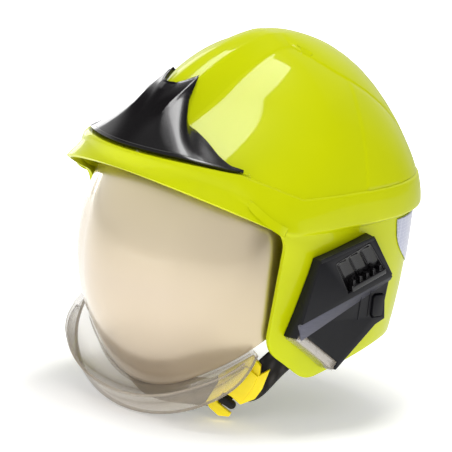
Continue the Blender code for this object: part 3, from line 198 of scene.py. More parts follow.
def brim_level(angle):
    """Height of the brim's lower step, which runs above the brow at the front."""
    side = CREASE_ANGLES[2]
    if angle < side:
        front = mix(brow_level(angle), crease_level(angle), BRIM_FRONT_SHARE)
        return mix(front, BRIM_SIDE_Z, ease((angle - CREASE_ANGLES[1]) / (side - CREASE_ANGLES[1])))
    return mix(BRIM_SIDE_Z, BRIM_REAR_Z, (angle - side) / (180 - side))


def crease_flare(angle):
    """How far the crease stands out past the dome over the brow, so that the brow band is upright."""
    brow = dome_radius(angle, brow_level(angle)) + brow_flare(angle)
    target = brow - CREASE_INSET * ease(angle / CREASE_ANGLES[1])
    full, end = CREASE_FLARE_ANGLES
    return ease((end - angle) / (end - full)) * (target - dome_radius(angle, crease_level(angle)))


def between(value, limits):
    """0 to 1 as the value passes from the first limit to the second."""
    return ease((value - limits[0]) / (limits[1] - limits[0]))


def shell_wall(angle, z, out=0.0):
    """A point on the outer face below the crease, with the flared brow and the stepped brim."""
    above = z - brow_level(angle)
    window = ease(1 - above / BROW_FADES[0]) if above > 0 else ease(1 + above / BROW_FADES[1])
    out += crease_flare(angle) * ease(above / (crease_level(angle) - brow_level(angle)))
    fall = ease((brim_level(angle) - z) / BRIM_FALL)
    ledge = LEDGE_RISE * between(angle, LEDGE_ANGLES) * ease((crease_level(angle) - z) / LEDGE_FALL)
    step = BRIM_STEP * between(angle, BRIM_STEP_ANGLES) * fall
    return round_point(angle, z, out + brow_flare(angle) * window + ledge * (1 - fall) - step)


def band_half(y):
    """Half-width of the crest band, which widens behind the crown."""
    return BAND_NARROW + BAND_WIDENING * (1 - math.exp(-max(0, y) / BAND_WIDENING_RUN))


def dome_point(x, y, out=0.0):
    """A point on the dome above its crease with the crest on it, moved out along the dome's normal."""
    fade = ease((y - CREST_ENDS[0]) / CREST_FADE) * ease((CREST_ENDS[1] - y) / CREST_FADE)
    height = mix(*CREST_HEIGHTS, max(0, -y / CREST_FULL_AHEAD))
    across = (band_half(y) - abs(x)) / (band_half(y) - RIDGE_HALF)
    out += fade * height * min(1, max(0, across))
    out += fade * BAND_STEP * ease((band_half(y) + BAND_STEP_RUN - abs(x)) / BAND_STEP_RUN)
    behind = PANEL_WAY[0] * (abs(x) - PANEL_CORNER[0]) + PANEL_WAY[1] * (y - PANEL_CORNER[1])
    out += PANEL_STEP * ease(behind / PANEL_STEP_RUN) * ease((abs(x) - band_half(y)) / PANEL_SIDE_RUN)
    tiny = 0.5 * MM
    slope_x = (dome_height(x + tiny, y) - dome_height(x - tiny, y)) / (2 * tiny)
    slope_y = (dome_height(x, y + tiny) - dome_height(x, y - tiny)) / (2 * tiny)
    return Vector((x, y, dome_height(x, y))) + Vector((-slope_x, -slope_y, 1)).normalized() * out


def crest_line(k, y, side_x):
    """Distance from the middle of the k-th line over the dome: the ridge, its shoulder, then the side."""
    ridge, band, foot, side = ACROSS
    if k <= ridge:
        return RIDGE_HALF * k / ridge
    if k <= band:
        return mix(RIDGE_HALF, band_half(y), (k - ridge) / (band - ridge))
    if k <= foot:
        return band_half(y) + BAND_STEP_RUN * (k - band) / (foot - band)
    share = (k - foot) / (side - foot)
    return mix(band_half(y) + BAND_STEP_RUN, side_x, 1 - (1 - share) ** 1.5)


def crease_end(k, corner, rear):
    """The k-th point of the crease across the front or the back of the dome."""
    x = crest_line(k, corner.y, corner.x)
    sign = 1 if rear else -1
    reach = solve(0, 2 * SHELL_FRONT, lambda far: outside_dome(x, SHELL_MIDDLE_Y + sign * far, corner.z))
    angle = math.degrees(math.atan2(x, -sign * reach))
    return round_point(angle, crease_level(angle))


# The free edge runs unrolled from the brow corner down the cheek and round to the nape, with round corners
edge_corners = [(BROW_PLAIN_ANGLE, brow_level(BROW_PLAIN_ANGLE)), (59.5, brow_level(59.5))]
edge_corners += [(57, -62 * MM), (80, -93 * MM), (128, -68 * MM), (180, -57 * MM)]
edge_path = [Vector((math.radians(angle) * SHELL_HALF_WIDTH, z)) for angle, z in edge_corners]
edge_points = [edge_path[0]]
for before, corner, after in zip(edge_path, edge_path[1:], edge_path[2:]):
    start = corner + (before - corner).normalized() * min(EDGE_ROUND, (before - corner).length / 2)
    end = corner + (after - corner).normalized() * min(EDGE_ROUND, (after - corner).length / 2)
    for i in range(EDGE_STEPS + 1):
        share = i / EDGE_STEPS
        edge_points.append(mix(mix(start, corner, share), mix(corner, end, share), share))
edge_points.append(edge_path[-1])


def path_runs(points):
    """How far along the path each point lies."""
    runs = [0.0]
    for first, second in zip(points, points[1:]):
        runs.append(runs[-1] + (second - first).length)
    return runs


edge_lengths = path_runs(edge_points)
edge_runs = path_runs(edge_path)


def edge_under(angle):
    """(angle, height) of the free edge below the crease at this angle."""
    if angle <= BROW_PLAIN_ANGLE:
        return angle, brow_level(angle)
    i = max(k for k in range(len(EDGE_FAN) - 1) if EDGE_FAN[k] <= min(angle, 179.9))
    share = (angle - EDGE_FAN[i]) / (EDGE_FAN[i + 1] - EDGE_FAN[i])
    want = mix(edge_runs[i], edge_runs[i + 1], share)
    want *= edge_lengths[-1] / edge_runs[-1]
    k = max(n for n in range(len(edge_points) - 1) if edge_lengths[n] <= want + 1e-9)
    share = (want - edge_lengths[k]) / (edge_lengths[k + 1] - edge_lengths[k])
    found = mix(edge_points[k], edge_points[k + 1], share)
    return math.degrees(found.x / SHELL_HALF_WIDTH), found.y


def wall_place(angle, row):
    """A point of the shell below the crease: down to the brim, over its step, then down the skirt."""
    brim_row, fall_row, edge_row = WALL_ROWS
    crease = crease_level(angle)
    edge_angle, edge_z = edge_under(angle)
    brim_angle = mix(angle, edge_angle, 0.3)
    brim_z = brim_level(brim_angle)
    under = brim_z - min(BRIM_FALL, (brim_z - edge_z) / 4)
    if row <= brim_row:
        share = (row - 1) / (brim_row - 1)
        wide = mix(angle, brim_angle, share)
        level = min(mix(crease - LEDGE_FALL, brim_z, share), crease_level(wide) - LEDGE_FALL)
        return shell_wall(wide, level)
    if row <= fall_row:
        return shell_wall(brim_angle, mix(brim_z, under, (row - brim_row) / (fall_row - brim_row)))
    share = (row - fall_row) / (edge_row - fall_row)
    return shell_wall(mix(brim_angle, edge_angle, share), mix(under, edge_z, share))


side_angles = [mix(CREASE_ANGLES[1], CREASE_BACK_ANGLE, j / ALONG) for j in range(ALONG + 1)]
side_line = [round_point(angle, crease_level(angle)) for angle in side_angles]
front_line = [crease_end(k, side_line[0], False) for k in range(ACROSS[3] + 1)]
back_line = [crease_end(k, side_line[-1], True) for k in range(ACROSS[3] + 1)]
bm = bmesh.new()
ring_angle = bm.verts.layers.float.new("ring_angle")
line_number = bm.verts.layers.int.new("line")
bmesh.ops.create_grid(bm, x_segments=ACROSS[3], y_segments=ALONG, size=0.5)
for vert in bm.verts:
    k = round((vert.co.x + 0.5) * ACROSS[3])
    j = round((vert.co.y + 0.5) * ALONG)
    corner = side_line[j]
    vert[ring_angle] = -1
    if j in (0, ALONG) or k == ACROSS[3]:
        foot = front_line[k] if j == 0 else back_line[k] if j == ALONG else corner
        angle = math.degrees(math.atan2(foot.x, SHELL_MIDDLE_Y - foot.y))
        vert.co = round_point(angle, foot.z, crease_flare(angle))
        vert[ring_angle] = angle
    else:
        along = (corner.y - front_line[-1].y) / (back_line[-1].y - front_line[-1].y)
        y = mix(front_line[k].y, back_line[k].y, along)
        vert.co = dome_point(crest_line(k, y, corner.x), y)
        if k in ACROSS[:2] and 8 < j < ALONG - 30:
            vert[line_number] = 1 + ACROSS.index(k)
    if k == 0:
        vert.co.x = 0
rim = [edge for edge in bm.edges if edge.is_boundary and all(vert[ring_angle] >= 0 for vert in edge.verts)]


def next_row(mesh_data, edges):
    """Extrudes the edges and returns the new row's vertices and edges."""
    made = bmesh.ops.extrude_edge_only(mesh_data, edges=edges)["geom"]
    fresh = {item for item in made if isinstance(item, bmesh.types.BMVert)}
    lines = [item for item in made if isinstance(item, bmesh.types.BMEdge)]
    return fresh, [edge for edge in lines if fresh.issuperset(edge.verts)]


for row in range(1, WALL_ROWS[2] + 1):
    fresh, rim = next_row(bm, rim)
    for vert in fresh:
        vert.co = wall_place(vert[ring_angle], row)
        vert[line_number] = {1: 3, WALL_ROWS[0]: 4}.get(row, 0)
        if vert[ring_angle] < 0.01 or vert[ring_angle] > 179.99:
            vert.co.x = 0


def mirror_half(mesh_data):
    """Adds the mirrored half, joins the two at the middle and faces them outwards."""
    whole = mesh_data.verts[:] + mesh_data.edges[:] + mesh_data.faces[:]
    bmesh.ops.mirror(mesh_data, geom=whole, axis="X", merge_dist=MERGE)
    bmesh.ops.remove_doubles(mesh_data, verts=mesh_data.verts, dist=MERGE)
    bmesh.ops.recalc_face_normals(mesh_data, faces=mesh_data.faces)


def round_edges(mesh_data, edges, radius, segments, clamp=False):
    """Rounds these edges and returns the faces of the rounds."""
    return bmesh.ops.bevel(
        mesh_data,
        geom=edges,
        offset=radius,
        offset_type="OFFSET",
        segments=segments,
        profile=0.5,
        affect="EDGES",
        clamp_overlap=clamp,
        material=-1,
    )["faces"]


mirror_half(bm)
# The ridge, the foot of its shoulder, the ledge under the crease and the brim's step, each with its round
for number, radius in ((1, 1.2 * MM), (2, 0.7 * MM), (3, 0.6 * MM), (4, 1 * MM)):
    line = [edge for edge in bm.edges if all(vert[line_number] == number for vert in edge.verts)]
    round_edges(bm, [edge for edge in line if not edge.is_boundary], radius, 3)


def linear(code):
    """An sRGB hex colour as linear light."""
    parts = [int(code[i : i + 2], 16) / 255 for i in (1, 3, 5)]
    parts = [part / 12.92 if part <= 0.04045 else ((part + 0.055) / 1.055) ** 2.4 for part in parts]
    return parts + [1]


def add_node(tree, kind, inputs, **settings):
    """Adds a node, gives it its settings, and sets or links its inputs."""
    made = tree.nodes.new(kind)
    for name, value in settings.items():
        setattr(made, name, value)
    for socket, value in inputs.items():
        if isinstance(value, bpy.types.NodeSocket):
            tree.links.new(value, made.inputs[socket])
        else:
            made.inputs[socket].default_value = value
    return made


def new_finish(name, **sockets):
    """A material with these values on its shader. Returns it with its tree, shader and object coordinates."""
    made = bpy.data.materials.new(name)
    made.use_nodes = True
    tree = made.node_tree
    shader = tree.nodes["Principled BSDF"]
    for socket, value in sockets.items():
        shader.inputs[socket.replace("_", " ")].default_value = value
    return made, tree, shader, add_node(tree, "ShaderNodeTexCoord", {}).outputs["Object"]


def place(name, mesh_data, finish, body, slot, *nodes, sharp=30):
    """Makes the mesh an object that rides on a body and stands for the CAD nodes given."""
    mesh = bpy.data.meshes.new(name)
    mesh_data.to_mesh(mesh)
    mesh_data.free()
    mesh.materials.append(finish)
    mesh.shade_smooth()
    mesh.set_sharp_from_angle(angle=math.radians(sharp))
    obj = bpy.data.objects.new(name, mesh)
    bpy.context.scene.collection.objects.link(obj)
    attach(obj, body)
    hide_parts(*nodes)
    return obj


def give_wall(obj, thickness):
    """Gives a surface its wall, inwards from its face."""
    wall = obj.modifiers.new("wall", "SOLIDIFY")
    wall.thickness = thickness
    wall.offset = -1
    return wall


def round_rim(obj, width, segments, angle):
    """Rounds the edges of a wall that are sharper than the angle."""
    rim_round = obj.modifiers.new("rim_round", "BEVEL")
    rim_round.width = width
    rim_round.segments = segments
    rim_round.limit_method = "ANGLE"
    rim_round.angle_limit = math.radians(angle)


# Sprayed lacquer on thermoplastic: a strong body colour under a smooth clear coat, with faint orange peel
SHELL_PAINT, tree, shader, spot = new_finish(
    "lacquered_yellow_green_paint",
    Roughness=0.4,
    Coat_Weight=0.34,
    Coat_Roughness=0.05,
    Specular_IOR_Level=0.05,
)
drift = add_node(tree, "ShaderNodeTexNoise", {"Vector": spot, "Scale": 1 / (60 * MM), "Detail": 2})
tones = {0: drift.outputs["Fac"], 6: linear("#BEC800"), 7: linear("#C8CF02")}
tone = add_node(tree, "ShaderNodeMix", tones, data_type="RGBA")
tree.links.new(tone.outputs[2], shader.inputs["Base Color"])
peel = add_node(tree, "ShaderNodeTexNoise", {"Vector": spot, "Scale": 1 / (3 * MM), "Detail": 1})
raised = add_node(tree, "ShaderNodeBump", {"Height": peel.outputs["Fac"], "Distance": 0.012 * MM})
tree.links.new(raised.outputs["Normal"], shader.inputs["Normal"])
shell = place("shell", bm, SHELL_PAINT, "helmet", "shell", "outer_shell", sharp=40)
give_wall(shell, SHELL_WALL)
round_rim(shell, 1.3 * MM, 3, 60)

# Front plate: a black high-gloss moulding clipped over the brow. A flat middle panel rises to two peaks,
# a swept wing falls away on each side, and a low step runs inside its whole edge.
PANEL_ANGLE = 17
TIP_ANGLE = 41
PLATE_GAP = 1.2 * MM
PLATE_THICK = 3.5 * MM
PLATE_LEDGE = 2.5 * MM
PLATE_BORDER = 2.6 * MM
PLATE_STEP = 0.4 * MM
CREASE_PROUD = 3.5 * MM
CREASE_BOW = 0.55
PANEL_COLUMNS = 8
WING_COLUMNS = 26
PLATE_INNER_ROWS = 14
WING_REACH = 0.9
WING_SMOOTHINGS = 10
FOOT_THINS = (1.2, 1.9)
TIP_CLOSES = (1.85, 2)
panel_top = [(0, -112), (4, -103), (8, -93)]
wing_top = [(8, -93), (13, -105), (19, -116), (26, -120), (36, -118), (50, -117), (64, -117), (74, -115)]


def smooth_path(points, share):
    """A point at this share of a smooth path through the points."""
    points = [2 * points[0] - points[1]] + points + [2 * points[-1] - points[-2]]
    at = min(share, 0.99999) * (len(points) - 3)
    k = int(at)
    t = at - k
    before, start, end, after = points[k : k + 4]
    bend = (before * 2 - start * 5 + end * 4 - after) * t * t
    turn = (start * 3 - before - end * 3 + after) * t * t * t
    return (start * 2 + (end - before) * t + bend + turn) / 2


def plate_ends(column):
    """Foot and top of the plate's face. column is 0 at the middle, 1 at the panel's edge, 2 at the tip."""
    angle = PANEL_ANGLE * column if column < 1 else mix(PANEL_ANGLE, TIP_ANGLE, column - 1)
    foot = round_point(angle, crease_level(angle) + PLATE_GAP, crease_flare(angle) - PLATE_LEDGE)
    ahead = Vector((foot.x, foot.y - SHELL_MIDDLE_Y, 0)).normalized()
    upward = Vector((0, 0, 1))
    thinned = 1 - 0.5 * between(column, FOOT_THINS)
    foot += (ahead + upward).normalized() * PLATE_THICK * thinned
    tip = foot + (upward - ahead) * 2 * MM
    points, share = (panel_top, column) if column < 1 else (wing_top, (column - 1) / WING_REACH)
    top = smooth_path([Vector(point) * MM for point in points], share)
    peak = dome_point(*top, PLATE_GAP + PLATE_THICK)
    return foot, mix(peak, tip, between(column, TIP_CLOSES))


bm = bmesh.new()
columns = PANEL_COLUMNS + WING_COLUMNS
rows = PLATE_INNER_ROWS + 4
wing_verts = []
bmesh.ops.create_grid(bm, x_segments=columns, y_segments=rows, size=0.5)
for vert in bm.verts:
    k = round((vert.co.x + 0.5) * columns)
    j = round((vert.co.y + 0.5) * rows)
    column = k / PANEL_COLUMNS if k < PANEL_COLUMNS else 1 + (k - PANEL_COLUMNS) / WING_COLUMNS
    foot, top = plate_ends(column)
    length = (top - foot).length
    border = min(PLATE_BORDER, length / 5)
    inner = min(PLATE_BORDER + PLATE_STEP, length / 4)
    marks = [0, border] + [mix(inner, length - inner, n / (rows - 4)) for n in range(rows - 3)]
    share = (marks + [length - border, length])[j] / length
    bowed = column - CREASE_BOW * 4 * share * (1 - share) * max(0, 1 - abs(column - 1))
    foot, top = plate_ends(bowed)
    proud = PLATE_STEP if 1 < j < rows - 1 else 0
    beside = abs(column - 1) / (1 if column < 1 else 0.6)
    facet = CREASE_PROUD * math.sin(math.pi * share) * max(0, 1 - beside)
    face = (top - foot).cross(plate_ends(min(2, bowed + 0.02))[0] - foot).normalized()
    chord = mix(foot, top, share)
    above = dome_point(chord.x, chord.y, PLATE_GAP + PLATE_THICK)
    way_out = (above - dome_point(chord.x, chord.y)).normalized()
    sunk = (above - chord).dot(way_out)
    chord += way_out * (sunk + math.hypot(sunk, 2 * MM)) / 2 * math.sin(math.pi * share)
    vert.co = chord - face * (proud + facet)
    if k == 0:
        vert.co.x = 0
    if PANEL_COLUMNS + 1 < k < columns - 2 and 2 < j < rows - 2:
        wing_verts.append(vert)
for _ in range(WING_SMOOTHINGS):
    bmesh.ops.smooth_vert(bm, verts=wing_verts, factor=0.5, use_axis_x=True, use_axis_y=True, use_axis_z=True)


def face_towards(mesh_data, way):
    """Turns an open surface so that most of it faces this way."""
    bmesh.ops.recalc_face_normals(mesh_data, faces=mesh_data.faces)
    if sum(face.normal.dot(way) * face.calc_area() for face in mesh_data.faces) < 0:
        bmesh.ops.reverse_faces(mesh_data, faces=mesh_data.faces)


FORWARD = Vector((0, -1, 0))
mirror_half(bm)
face_towards(bm, FORWARD)
# Polished moulding: nearly black body under a thin glossy skin, with faint flow marks in the gloss
GLOSS_BLACK, tree, shader, spot = new_finish(
    "polished_black_moulding",
    Base_Color=linear("#100E10"),
    Coat_Weight=0.25,
    Coat_Roughness=0.05,
    IOR=1.5,
)
flow = add_node(tree, "ShaderNodeTexNoise", {"Vector": spot, "Scale": 1 / (14 * MM), "Detail": 3})
gloss = add_node(tree, "ShaderNodeMapRange", {"Value": flow.outputs["Fac"], "To Min": 0.2, "To Max": 0.26})
tree.links.new(gloss.outputs["Result"], shader.inputs["Roughness"])
plate = place("front_plate_moulding", bm, GLOSS_BLACK, "helmet", "plate", "front_plate", sharp=20)
give_wall(plate, PLATE_THICK)
round_rim(plate, 0.7 * MM, 3, 50)

# Rear reflector: a retroreflective film stuck round the back of the skirt, deepest in the middle.
# Its face is a honeycomb of sealed prism cells under a clear skin.
FILM_OUT = 1.2 * MM
FILM_THICK = 0.7 * MM
FILM_HALF_ANGLE = 56
FILM_BELOW_BRIM = 6 * MM
FILM_DROPS = (3 * MM, 62 * MM)
bm = bmesh.new()
bmesh.ops.create_grid(bm, x_segments=80, y_segments=20, size=0.5)
for vert in bm.verts:
    off = FILM_HALF_ANGLE * 2 * vert.co.x
    top = brim_level(180 - abs(off)) - FILM_BELOW_BRIM
    drop = mix(*FILM_DROPS, math.sqrt(max(0, 1 - (off / FILM_HALF_ANGLE) ** 2)))
    point = shell_wall(180 - abs(off), top - drop * (0.5 - vert.co.y), FILM_OUT)
    vert.co = (math.copysign(point.x, off), point.y, point.z)
bmesh.ops.recalc_face_normals(bm, faces=bm.faces)
# Prismatic film: pale sealed lines round glossier cells with a lilac cast, under a clear skin
REFLECTIVE_FILM, tree, shader, spot = new_finish(
    "prismatic_reflective_film", Metallic=0.6, Coat_Weight=0.5, Coat_Roughness=0.08
)
comb = {"Vector": spot, "Scale": 1 / (3.2 * MM), "Randomness": 0.15}
cells = add_node(tree, "ShaderNodeTexVoronoi", comb, feature="DISTANCE_TO_EDGE")
seal = add_node(tree, "ShaderNodeMapRange", {"Value": cells.outputs["Distance"], "From Max": 0.09})
tones = {0: seal.outputs["Result"], 6: linear("#D9DBE6"), 7: linear("#AEB2CA")}
tone = add_node(tree, "ShaderNodeMix", tones, data_type="RGBA")
tree.links.new(tone.outputs[2], shader.inputs["Base Color"])
gloss = add_node(tree, "ShaderNodeMapRange", {"Value": seal.outputs["Result"], "To Min": 0.5, "To Max": 0.28})
tree.links.new(gloss.outputs["Result"], shader.inputs["Roughness"])
film = place("reflective_film", bm, REFLECTIVE_FILM, "helmet", "film", "rear_reflector")
give_wall(film, FILM_THICK)

# Face shield: a polycarbonate visor moulded about the pivot axis, with a vacuum-deposited gold film that
# mirrors the room and lets a little light through. Its sides turn back into flat plates that narrow to
# the pivots.
SHIELD_HALF = 103.7 * MM
SHIELD_ROUND = 5 * MM
SHIELD_CORE = 42 * MM
SHIELD_BULGE = 118 * MM
SHIELD_THICK = 3 * MM
SHIELD_TOP_ANGLE = 34
SHIELD_LOW_ANGLES = (-44.5, -35)
SHIELD_SIDE_FULL = 14 * MM
SHIELD_FULL_FROM = 60 * MM
SHIELD_FULL_RUN = 40 * MM
PLATE_FACE = 107 * MM
ARM_ROWS = 11
HUB_RADIUS = 13 * MM
HUB_HOLE = 4.4 * MM
HUB_HALF_TURN = 140


def side_fuller(x):
    """How much fuller than a plain oval the shield is towards its sides."""
    return SHIELD_SIDE_FULL * max(0, (abs(x) - SHIELD_FULL_FROM) / SHIELD_FULL_RUN) ** 1.6


def shield_normal(x):
    """The way the shield faces: sideways, and out from the pivot axis."""
    half = SHIELD_HALF + SHIELD_ROUND
    return Vector((x / half**2, math.sqrt(1 - (x / half) ** 2) / SHIELD_BULGE)).normalized()


def shield_point(x, angle, out=0.0):
    """A point on the shield at this angle above the pivot, moved out along its normal."""
    half = SHIELD_HALF + SHIELD_ROUND
    normal = shield_normal(x)
    radius = SHIELD_CORE + SHIELD_BULGE * math.sqrt(1 - (x / half) ** 2) + side_fuller(x)
    radius += normal.y * out
    turn = math.radians(angle)
    return Vector((x + normal.x * out, -radius * math.cos(turn), radius * math.sin(turn)))


def shield_low(x):
    """Angle of the shield's lower edge."""
    return mix(*SHIELD_LOW_ANGLES, (x / SHIELD_HALF) ** 2)


bm = bmesh.new()
height_share = bm.verts.layers.float.new("height_share")
bmesh.ops.create_grid(bm, x_segments=96, y_segments=60, size=0.5)
for vert in bm.verts:
    x = SHIELD_HALF * math.sin(math.pi * vert.co.x)
    vert[height_share] = vert.co.y + 0.5
    vert.co = shield_point(x, mix(shield_low(x), SHIELD_TOP_ANGLE, vert[height_share]))
# Each side edge turns its corner in a few rows, narrows to the hub and ends at the hub's hole
side_edges = [e for e in bm.edges if all(abs(abs(vert.co.x) - SHIELD_HALF) < MERGE for vert in e.verts)]
edge_radius = -shield_point(SHIELD_HALF, 0).y
corner_turn = [(105.2 * MM, -5 * MM), (106.2 * MM, -10 * MM), (106.8 * MM, -16 * MM), (PLATE_FACE, -22 * MM)]
last_corner = len(corner_turn) - 1
for row in range(last_corner + ARM_ROWS + 2):
    fresh, side_edges = next_row(bm, side_edges)
    x, shift = corner_turn[min(row, last_corner)]
    narrowed = max(0, row - last_corner) / ARM_ROWS
    for vert in fresh:
        turn = math.radians(mix(shield_low(SHIELD_HALF), SHIELD_TOP_ANGLE, vert[height_share]))
        hub_turn = math.radians(mix(-HUB_HALF_TURN, HUB_HALF_TURN, vert[height_share]))
        rim = Vector((-math.cos(turn), math.sin(turn))) * (edge_radius + shift)
        hub = Vector((-math.cos(hub_turn), math.sin(hub_turn)))
        flat = mix(rim, hub * HUB_RADIUS, narrowed) if narrowed <= 1 else hub * HUB_HOLE
        vert.co = (math.copysign(x, vert.co.x), *flat)
face_towards(bm, FORWARD)
# Gold film on hard-coated polycarbonate: a pale warm mirror, a touch of see-through, no grain. Its colour has a
# painted reflection, yellower at the top where the brow is mirrored, and painted shade, deeper towards both
# sides where the shaded shell opening is mirrored
GOLD_FILM, tree, shader, spot = new_finish(
    "gold_filmed_polycarbonate",
    Metallic=0.85,
    Transmission_Weight=1.0,
    IOR=1.585,
    Coat_Weight=1.0,
    Coat_IOR=1.5,
    Coat_Roughness=0.02,
)
haze = add_node(tree, "ShaderNodeTexNoise", {"Vector": spot, "Scale": 1 / (25 * MM), "Detail": 2})
gloss = add_node(tree, "ShaderNodeMapRange", {"Value": haze.outputs["Fac"], "To Min": 0.28, "To Max": 0.34})
tree.links.new(gloss.outputs["Result"], shader.inputs["Roughness"])
parts = add_node(tree, "ShaderNodeSeparateXYZ", {"Vector": spot}).outputs
# Painted reflection of the brow: the colour turns yellower towards the top
painted_brow_reflection = add_node(tree, "ShaderNodeMapRange", {"Value": parts["Z"], "From Min": -20 * MM, "From Max": 60 * MM})
# Painted shade: the colour turns deeper towards both sides
painted_side_shade = add_node(tree, "ShaderNodeMath", {0: parts["X"]}, operation="ABSOLUTE").outputs["Value"]
painted_side_shade = add_node(tree, "ShaderNodeMapRange", {"Value": painted_side_shade, "From Min": 45 * MM, "From Max": 100 * MM})
tones = {0: painted_brow_reflection.outputs["Result"], 6: linear("#E6D5BC"), 7: linear("#F2E2BC")}
tone = add_node(tree, "ShaderNodeMix", tones, data_type="RGBA").outputs[2]
tones = {0: painted_side_shade.outputs["Result"], 6: tone, 7: linear("#E0CFB0")}
tone = add_node(tree, "ShaderNodeMix", tones, data_type="RGBA").outputs[2]
tree.links.new(tone, shader.inputs["Base Color"])
arms = ("shield_arm_left", "shield_arm_right")
visor = place("gold_face_shield", bm, GOLD_FILM, "face_shield", "gold_visor", "face_shield", *arms)
give_wall(visor, SHIELD_THICK)
round_rim(visor, 0.8 * MM, 2, 60)

# Shield lip: a clear moulded polycarbonate trim fixed along the gold shield's lower edge. A flange stands out
# ahead of that edge and a skirt falls back from it, both fading out towards the sides.
LIP_HALF = SHIELD_HALF - 5 * MM
LIP_GAP_ANGLE = 0.15
LIP_FLANGE = 32 * MM
LIP_SKIRT = 27 * MM
LIP_THICK = 3 * MM
LIP_RIM = 1.2 * MM
LIP_ROWS = 4
FOLD_ROUND = 2.2 * MM
FOLD_SHADE_MARK = 0.6
flange_turn = math.radians(-7)
skirt_turn = math.radians(-135)
skirt = Vector((0, -math.cos(skirt_turn), math.sin(skirt_turn)))
bm = bmesh.new()
# Marks where a painted dark line stands for the shade seen where the clear wall is edge on: the lower rim, and
# the round of each fold
painted_shade_mark = bm.verts.layers.float.new("painted_edge_shade")
bmesh.ops.create_grid(bm, x_segments=96, y_segments=LIP_ROWS, size=0.5)
for vert in bm.verts:
    x = LIP_HALF * math.sin(math.pi * vert.co.x)
    row = round((vert.co.y + 0.5) * LIP_ROWS)
    share = 1 - (abs(x) / SHIELD_HALF) ** 5
    normal = shield_normal(x)
    flange = Vector((normal.x, -normal.y * math.cos(flange_turn), normal.y * math.sin(flange_turn)))
    point = shield_point(x, shield_low(x) - LIP_GAP_ANGLE, -SHIELD_THICK if row == 0 else 0)
    if row > 1:
        point += flange * LIP_FLANGE * share
    if row > 2:
        point += skirt * (LIP_SKIRT if row > 3 else LIP_SKIRT - LIP_RIM) * share
    vert.co = point
    vert[painted_shade_mark] = 1 if row > 3 else 0
bmesh.ops.recalc_face_normals(bm, faces=bm.faces)
folds = [edge for edge in bm.edges if not edge.is_boundary and edge.calc_face_angle(0) > math.radians(12)]
folds = [edge for edge in folds if abs((edge.verts[0].co - edge.verts[1].co).normalized().x) > 0.2]
rounds = set(round_edges(bm, folds, FOLD_ROUND, 4))
for vert in {vert for face in rounds for vert in face.verts}:
    if rounds.issuperset(vert.link_faces):
        vert[painted_shade_mark] = FOLD_SHADE_MARK
face_towards(bm, FORWARD)
# Clear moulded polycarbonate: see-through with a faint warm cast and a glassy skin. Painted shade makes it
# darker and less clear where it is seen edge on and along the marked rim and fold lines
CLEAR_PLASTIC, tree, shader, spot = new_finish(
    "clear_moulded_polycarbonate", IOR=1.585, Coat_Weight=1.0, Coat_Roughness=0.02
)
haze = add_node(tree, "ShaderNodeTexNoise", {"Vector": spot, "Scale": 1 / (18 * MM), "Detail": 2})
gloss = add_node(tree, "ShaderNodeMapRange", {"Value": haze.outputs["Fac"], "To Min": 0.02, "To Max": 0.06})
tree.links.new(gloss.outputs["Result"], shader.inputs["Roughness"])
edge_on_shade = add_node(tree, "ShaderNodeLayerWeight", {"Blend": 0.25}).outputs["Facing"]
line = add_node(tree, "ShaderNodeAttribute", {}, attribute_name="painted_edge_shade").outputs["Fac"]
edge_on_shade = add_node(tree, "ShaderNodeMath", {0: edge_on_shade, 1: line}, operation="MAXIMUM").outputs["Value"]
opacity = add_node(tree, "ShaderNodeMapRange", {"Value": edge_on_shade, "To Min": 0.12, "To Max": 0.85})
tree.links.new(opacity.outputs["Result"], shader.inputs["Alpha"])
# Painted shade: the colour turns dark brown where the wall is seen edge on and on the marked lines
tones = {0: edge_on_shade, 6: linear("#E4D8C6"), 7: linear("#857662")}
tone = add_node(tree, "ShaderNodeMix", tones, data_type="RGBA")
tree.links.new(tone.outputs[2], shader.inputs["Base Color"])
lip = place("clear_shield_lip", bm, CLEAR_PLASTIC, "face_shield", "clear", "shield_lip")
give_wall(lip, LIP_THICK).use_even_offset = True

# Ocular visor: a clear moulded polycarbonate eye visor, with a notch for the nose. It is stowed between the
# shell and the liner, and turns about the same pivots as the shield, inside it.
OCULAR_HALF = 96.6 * MM
OCULAR_ROUND = 4 * MM
OCULAR_CORE = 34 * MM
OCULAR_BULGE = 116 * MM
OCULAR_THICK = 2.5 * MM
OCULAR_ANGLES = (38, 80)
NOSE_ANGLE = 8
NOSE_HALF = 22 * MM
bm = bmesh.new()
bmesh.ops.create_grid(bm, x_segments=72, y_segments=30, size=0.5)
for vert in bm.verts:
    x = OCULAR_HALF * math.sin(math.pi * vert.co.x)
    nose = NOSE_ANGLE * math.exp(-((x / NOSE_HALF) ** 2))
    turn = math.radians(mix(OCULAR_ANGLES[0] + nose, OCULAR_ANGLES[1], vert.co.y + 0.5))
    radius = OCULAR_CORE + OCULAR_BULGE * math.sqrt(1 - (x / (OCULAR_HALF + OCULAR_ROUND)) ** 2)
    vert.co = (x, -radius * math.cos(turn), radius * math.sin(turn))
face_towards(bm, Vector((0, 0, 1)))
eyes = place("clear_ocular_visor", bm, CLEAR_PLASTIC, "ocular", "clear", "ocular_visor")
give_wall(eyes, OCULAR_THICK)

# Ocular arms and pivots: moulded nylon fans and rings on a plated steel bolt at each side, stacked inwards
# from the shell wall, with rounded edges.
SIDES = (("left", 1), ("right", -1))


def node_copy(node):
    """The CAD node's mesh with its loose triangles merged and its flat faces made whole."""
    made = bmesh.new()
    made.from_mesh(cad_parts[node].data)
    bmesh.ops.remove_doubles(made, verts=made.verts, dist=0.002 * MM)
    bmesh.ops.dissolve_limit(made, angle_limit=math.radians(0.5), verts=made.verts, edges=made.edges)
    return made


